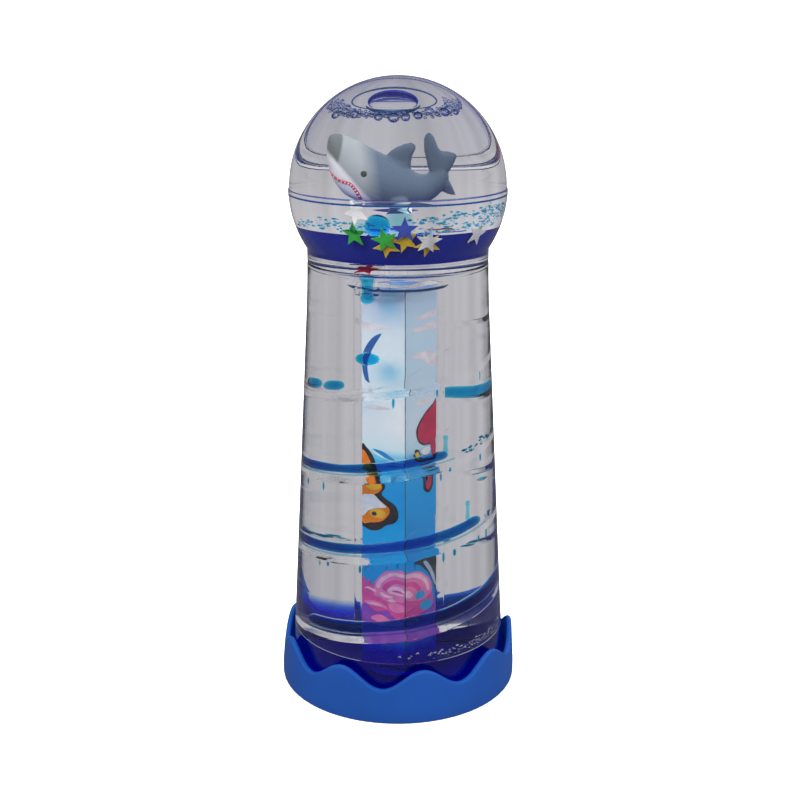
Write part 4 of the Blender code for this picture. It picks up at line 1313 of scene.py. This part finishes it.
# Along X, height from the shark's middle, half height, half width, lean of the section
SHARK_SECTIONS = (
    (-12.55, 4.9, 1.6, 1.2, 0.0), (-12.2, 4.8, 2.9, 2.3, 2.0), (-10.7, 3.5, 4.2, 3.3, 8.0),
    (-8.2, 1.7, 4.8, 4.0, 15.0), (-5.2, 0.0, 4.8, 4.4, 18.0), (-1.6, -1.4, 4.6, 4.4, 14.0),
    (2.0, -2.2, 3.7, 3.5, 0.0), (4.8, -1.9, 2.6, 2.3, -20.0), (6.9, -0.6, 1.8, 1.5, -35.0),
    (8.2, 0.9, 1.1, 0.9, -50.0),
)
DORSAL_FIN = ((-2.8, 2.4), (-1.6, 4.4), (0.4, 5.6), (2.4, 6.1), (3.3, 5.3), (2.5, 3.4),
              (2.0, 0.6), (-1.0, -0.5))
TAIL_FIN = ((5.3, 8.0), (6.3, 7.4), (7.3, 5.0), (9.0, 4.6), (10.5, 4.0), (9.9, 2.2), (8.8, 0.3),
            (9.3, -1.4), (10.2, -3.2), (8.2, -2.8), (6.2, -1.2), (5.2, 1.6), (4.6, 4.4),
            (4.5, 6.6))
SIDE_FIN = ((-4.2, -2.2), (-2.4, -1.4), (-0.2, -2.0), (1.6, -4.6), (2.8, -7.6), (1.4, -7.8),
            (-1.6, -5.4))
# The mouth's line on one side, from the snout back to its corner: along X, height, and the
# angle it is looked at from, where 0 is from the nose and 90 from a side
MOUTH = ((-11.8, 0.8, 75.0), (-10.6, -0.3, 90.0), (-8.8, -0.8, 90.0), (-7.6, -2.1, 90.0),
         (-6.7, -3.8, 90.0))
EYE = (-6.3, 1.2, 90.0)


def add_fin(shape, outline, half_thickness, lean=0.0):
    """A fin that is thick along its middle and thin at its edge."""
    curve = [Vector(point) for point in curve_through(outline, 6, closed=True)]
    middle = sum(curve, Vector((0.0, 0.0))) / len(curve)
    turn = Matrix.Rotation(math.radians(lean), 3, "X")
    rows = []
    for side, share in ((-1.0, 0.35), (-0.8, 0.7), (0.0, 1.0), (0.8, 0.7), (1.0, 0.35)):
        flat = [middle + (point - middle) * share for point in curve]
        rows.append([in_shark(*(turn @ Vector((point.x, side * half_thickness, point.y))))
                     for point in flat])
    loft(rows, into=shape)


def fused(shape, voxel, smoothing):
    """Join a bmesh's overlapping bodies into one smooth skin."""
    bmesh.ops.recalc_face_normals(shape, faces=shape.faces)
    item = as_object("bodies_to_fuse", shape)
    remesh = item.modifiers.new("fuse", "REMESH")
    remesh.mode = "VOXEL"
    remesh.voxel_size = voxel
    smooth = item.modifiers.new("smooth", "SMOOTH")
    smooth.factor = 0.5
    smooth.iterations = smoothing
    skin = bmesh.new()
    skin.from_mesh(item.evaluated_get(bpy.context.evaluated_depsgraph_get()).to_mesh())
    bpy.data.objects.remove(item)
    return skin


def shark_skin():
    """The shark's body and fins as one skin."""
    sides = 28
    rows = []
    for along, up, half_height, half_width, lean in curve_through(SHARK_SECTIONS, 4):
        tilt = math.radians(lean)
        row = []
        for side in range(sides):
            turn = math.tau * (side + 0.5) / sides
            lift = half_height * math.sin(turn)
            row.append(in_shark(along + lift * math.sin(tilt), half_width * math.cos(turn),
                                up + lift * math.cos(tilt)))
        rows.append(row)
    shape = loft(rows)
    add_fin(shape, DORSAL_FIN, 0.75)
    add_fin(shape, TAIL_FIN, 0.7)
    for lean in (-42.0, 42.0):
        add_fin(shape, SIDE_FIN, 0.75, lean)
    return fused(shape, 0.22 * MM, 6)


def on_skin(tree, along, up, turn, side):
    """The place and normal where a level line from outside meets the skin."""
    outside = 30.0 * MM
    out = Vector((-math.cos(math.radians(turn)), side * math.sin(math.radians(turn)), 0.0))
    return tree.ray_cast(in_shark(along, 0.0, up) + out * outside, -out)[:2]


def z_along(direction):
    """The turn that lays a shape's Z along a direction."""
    return direction.to_track_quat("Z", "Y").to_matrix()


def add_tooth(teeth, place, normal, across):
    """A small cone that stands on the lining and leans downwards."""
    down = across if across.z < 0.0 else -across
    tip = normal.lerp(down, 0.75).normalized()
    root = Matrix.Translation(place + normal * 0.05 * MM + tip * 0.10 * MM)
    bmesh.ops.create_cone(teeth, cap_ends=True, segments=8, radius1=0.20 * MM,
                          radius2=0.02 * MM, depth=0.55 * MM,
                          matrix=root @ z_along(tip).to_4x4())


def add_mouth_side(lining, teeth, path):
    """Half of the mouth: a flat strand along the skin with a tooth at every second point."""
    last = len(path) - 1
    rows = []
    for index, (place, normal) in enumerate(path):
        ahead = path[min(index + 1, last)][0] - path[max(index - 1, 0)][0]
        across = ahead.cross(normal).normalized()
        width = 0.38 * MM if index < last else 0.10 * MM
        rows.append([place + across * width * cosine + normal * 0.12 * MM * sine
                     for cosine, sine in circle(8)])
        if index % 2 == 1 and index < last - 1:
            add_tooth(teeth, place, normal, across)
    loft(rows, into=lining)


def make_shark():
    """The vinyl shark with its painted mouth, small teeth and eyes."""
    skin = shark_skin()
    tree = BVHTree.FromBMesh(skin)
    lining, teeth, eyes = bmesh.new(), bmesh.new(), bmesh.new()
    for side in (-1.0, 1.0):
        path = [on_skin(tree, *point, side) for point in curve_through(MOUTH, 6)]
        add_mouth_side(lining, teeth, [(place, normal) for place, normal in path if place])
        place, normal = on_skin(tree, *EYE, side)
        add_ball(eyes, place, Vector((0.58, 0.58, 0.22)) * MM, z_along(normal), 3)
    add_piece("shark_body", skin, "shark", "shark", "shark_vinyl", "shark")
    add_piece("shark_mouth", lining, "mouth", "shark", "shark_vinyl")
    add_piece("shark_teeth", teeth, "teeth", "shark", "shark_vinyl")
    add_piece("shark_eyes", eyes, "eye", "shark", "shark_vinyl")


# ---------------------------------------------------------------- CAD nodes that stay

def dress_cad_nodes():
    """Give the CAD nodes that stay their finished materials; a star's name holds its colour."""
    dressed = {"picture_card": "card", "column_cap": "insert", "neck_plate": "insert",
               "tube_floor": "insert", "fill_plug": "rubber"}
    dressed.update({name: name.split("_")[1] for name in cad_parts
                    if name.startswith("star_")})
    for name, finish in dressed.items():
        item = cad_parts[name]
        item.data.materials.clear()
        item.data.materials.append(MATERIALS[finish])


# ---------------------------------------------------------------- studio

def make_floor():
    """A pale floor that curves up into a wall all round, and that only the camera sees."""
    floor_radius = 1.6
    cove = 0.8
    wall_top = 2.5
    shape = revolve([(0.0, 0.0), (floor_radius, 0.0)]
                    + arc(floor_radius, cove, cove, -90.0, 0.0, 12)
                    + [(floor_radius + cove, wall_top)], 64)
    bmesh.ops.reverse_faces(shape, faces=shape.faces)
    floor = as_object("studio_floor", shape, ("floor",))
    floor.visible_transmission = False
    floor.visible_glossy = False
    floor.visible_diffuse = False
    floor.visible_shadow = False


def make_world():
    """A grey world for the clear plastic to bend: darker below, with upright bands.

    The bands are like the panels and gaps of a room. The world is dimmer in reflections, and
    brighter for light that a surface has scattered.
    """
    world = bpy.data.worlds.new("studio_world")
    bpy.context.scene.world = world
    world.use_nodes = True
    direction = node(world, "TexCoord")["Generated"]
    parts = node(world, "SeparateXYZ", {"Vector": direction})
    colour = colour_ramp(world, mapped(world, parts["Z"], -1.0, 1.0),
                         [(position, (grey, grey * 0.985, grey * 1.03))
                          for position, grey in WORLD_GREYS])
    azimuth = node(world, "Math", {0: parts["Y"], 1: parts["X"]}, operation="ARCTAN2")["Value"]
    bands = node(world, "TexNoise", noise_dimensions="1D",
                 inputs={"W": azimuth, "Scale": 3.2, "Detail": 3.0})["Fac"]
    path = node(world, "LightPath")
    seen = node(world, "Math", operation="MULTIPLY", inputs={
        0: mapped(world, bands, 0.3, 0.7, 0.90, 1.22),
        1: mapped(world, path["Is Reflection Ray"], 0.0, 1.0, 1.0, MIRRORED)})["Value"]
    background = world.node_tree.nodes["Background"]
    fill(world, background.inputs["Color"], colour)
    fill(world, background.inputs["Strength"],
         mapped(world, path["Diffuse Depth"], 0.0, 1.0, seen, LIT_SURFACES))


def make_lamps():
    """Soft lamps, which don't show in the clear plastic."""
    for name, place, (width, height), power in LAMPS:
        lamp = bpy.data.lights.new(name, "AREA")
        lamp.shape = "RECTANGLE"
        lamp.size = width
        lamp.size_y = height
        lamp.energy = power
        item = bpy.data.objects.new(name, lamp)
        item.location = place
        item.rotation_euler = (LAMP_TARGET - item.location).to_track_quat("-Z", "Y").to_euler()
        item.visible_transmission = False
        item.visible_glossy = False
        bpy.context.scene.collection.objects.link(item)


def make_camera():
    """The camera stands in front of the tower and looks down on it."""
    camera = bpy.data.cameras.new("main_camera")
    camera.lens = CAMERA_LENS
    camera.clip_start = 0.01
    item = bpy.data.objects.new("main_camera", camera)
    item.location = CAMERA_PLACE
    item.rotation_euler = (math.radians(90.0 - CAMERA_TILT), 0.0, math.radians(CAMERA_TURN))
    bpy.context.scene.collection.objects.link(item)
    bpy.context.scene.camera = item


def set_light_paths():
    """Let light pass the many walls of clear plastic, and keep its noise down."""
    scene = bpy.context.scene
    scene.view_settings.view_transform = "Standard"
    scene.cycles.use_denoising = True
    scene.cycles.max_bounces = 24
    scene.cycles.transmission_bounces = 24
    scene.cycles.transparent_max_bounces = 32
    scene.cycles.caustics_reflective = False
    scene.cycles.caustics_refractive = False
    scene.cycles.sample_clamp_indirect = 4.0


make_tube()
make_bowl()
make_dome()
make_base()
make_column()
make_ramp()
make_nozzles()
make_globe_layer()
make_reservoir()
make_drops()
make_ramp_liquid()
make_drips()
make_films()
make_foam()
make_foam_edges()
make_interface_drops()
make_droplets()
make_print()
make_fold_lines()
make_shark()
dress_cad_nodes()
make_floor()
make_world()
make_lamps()
make_camera()
set_light_paths()
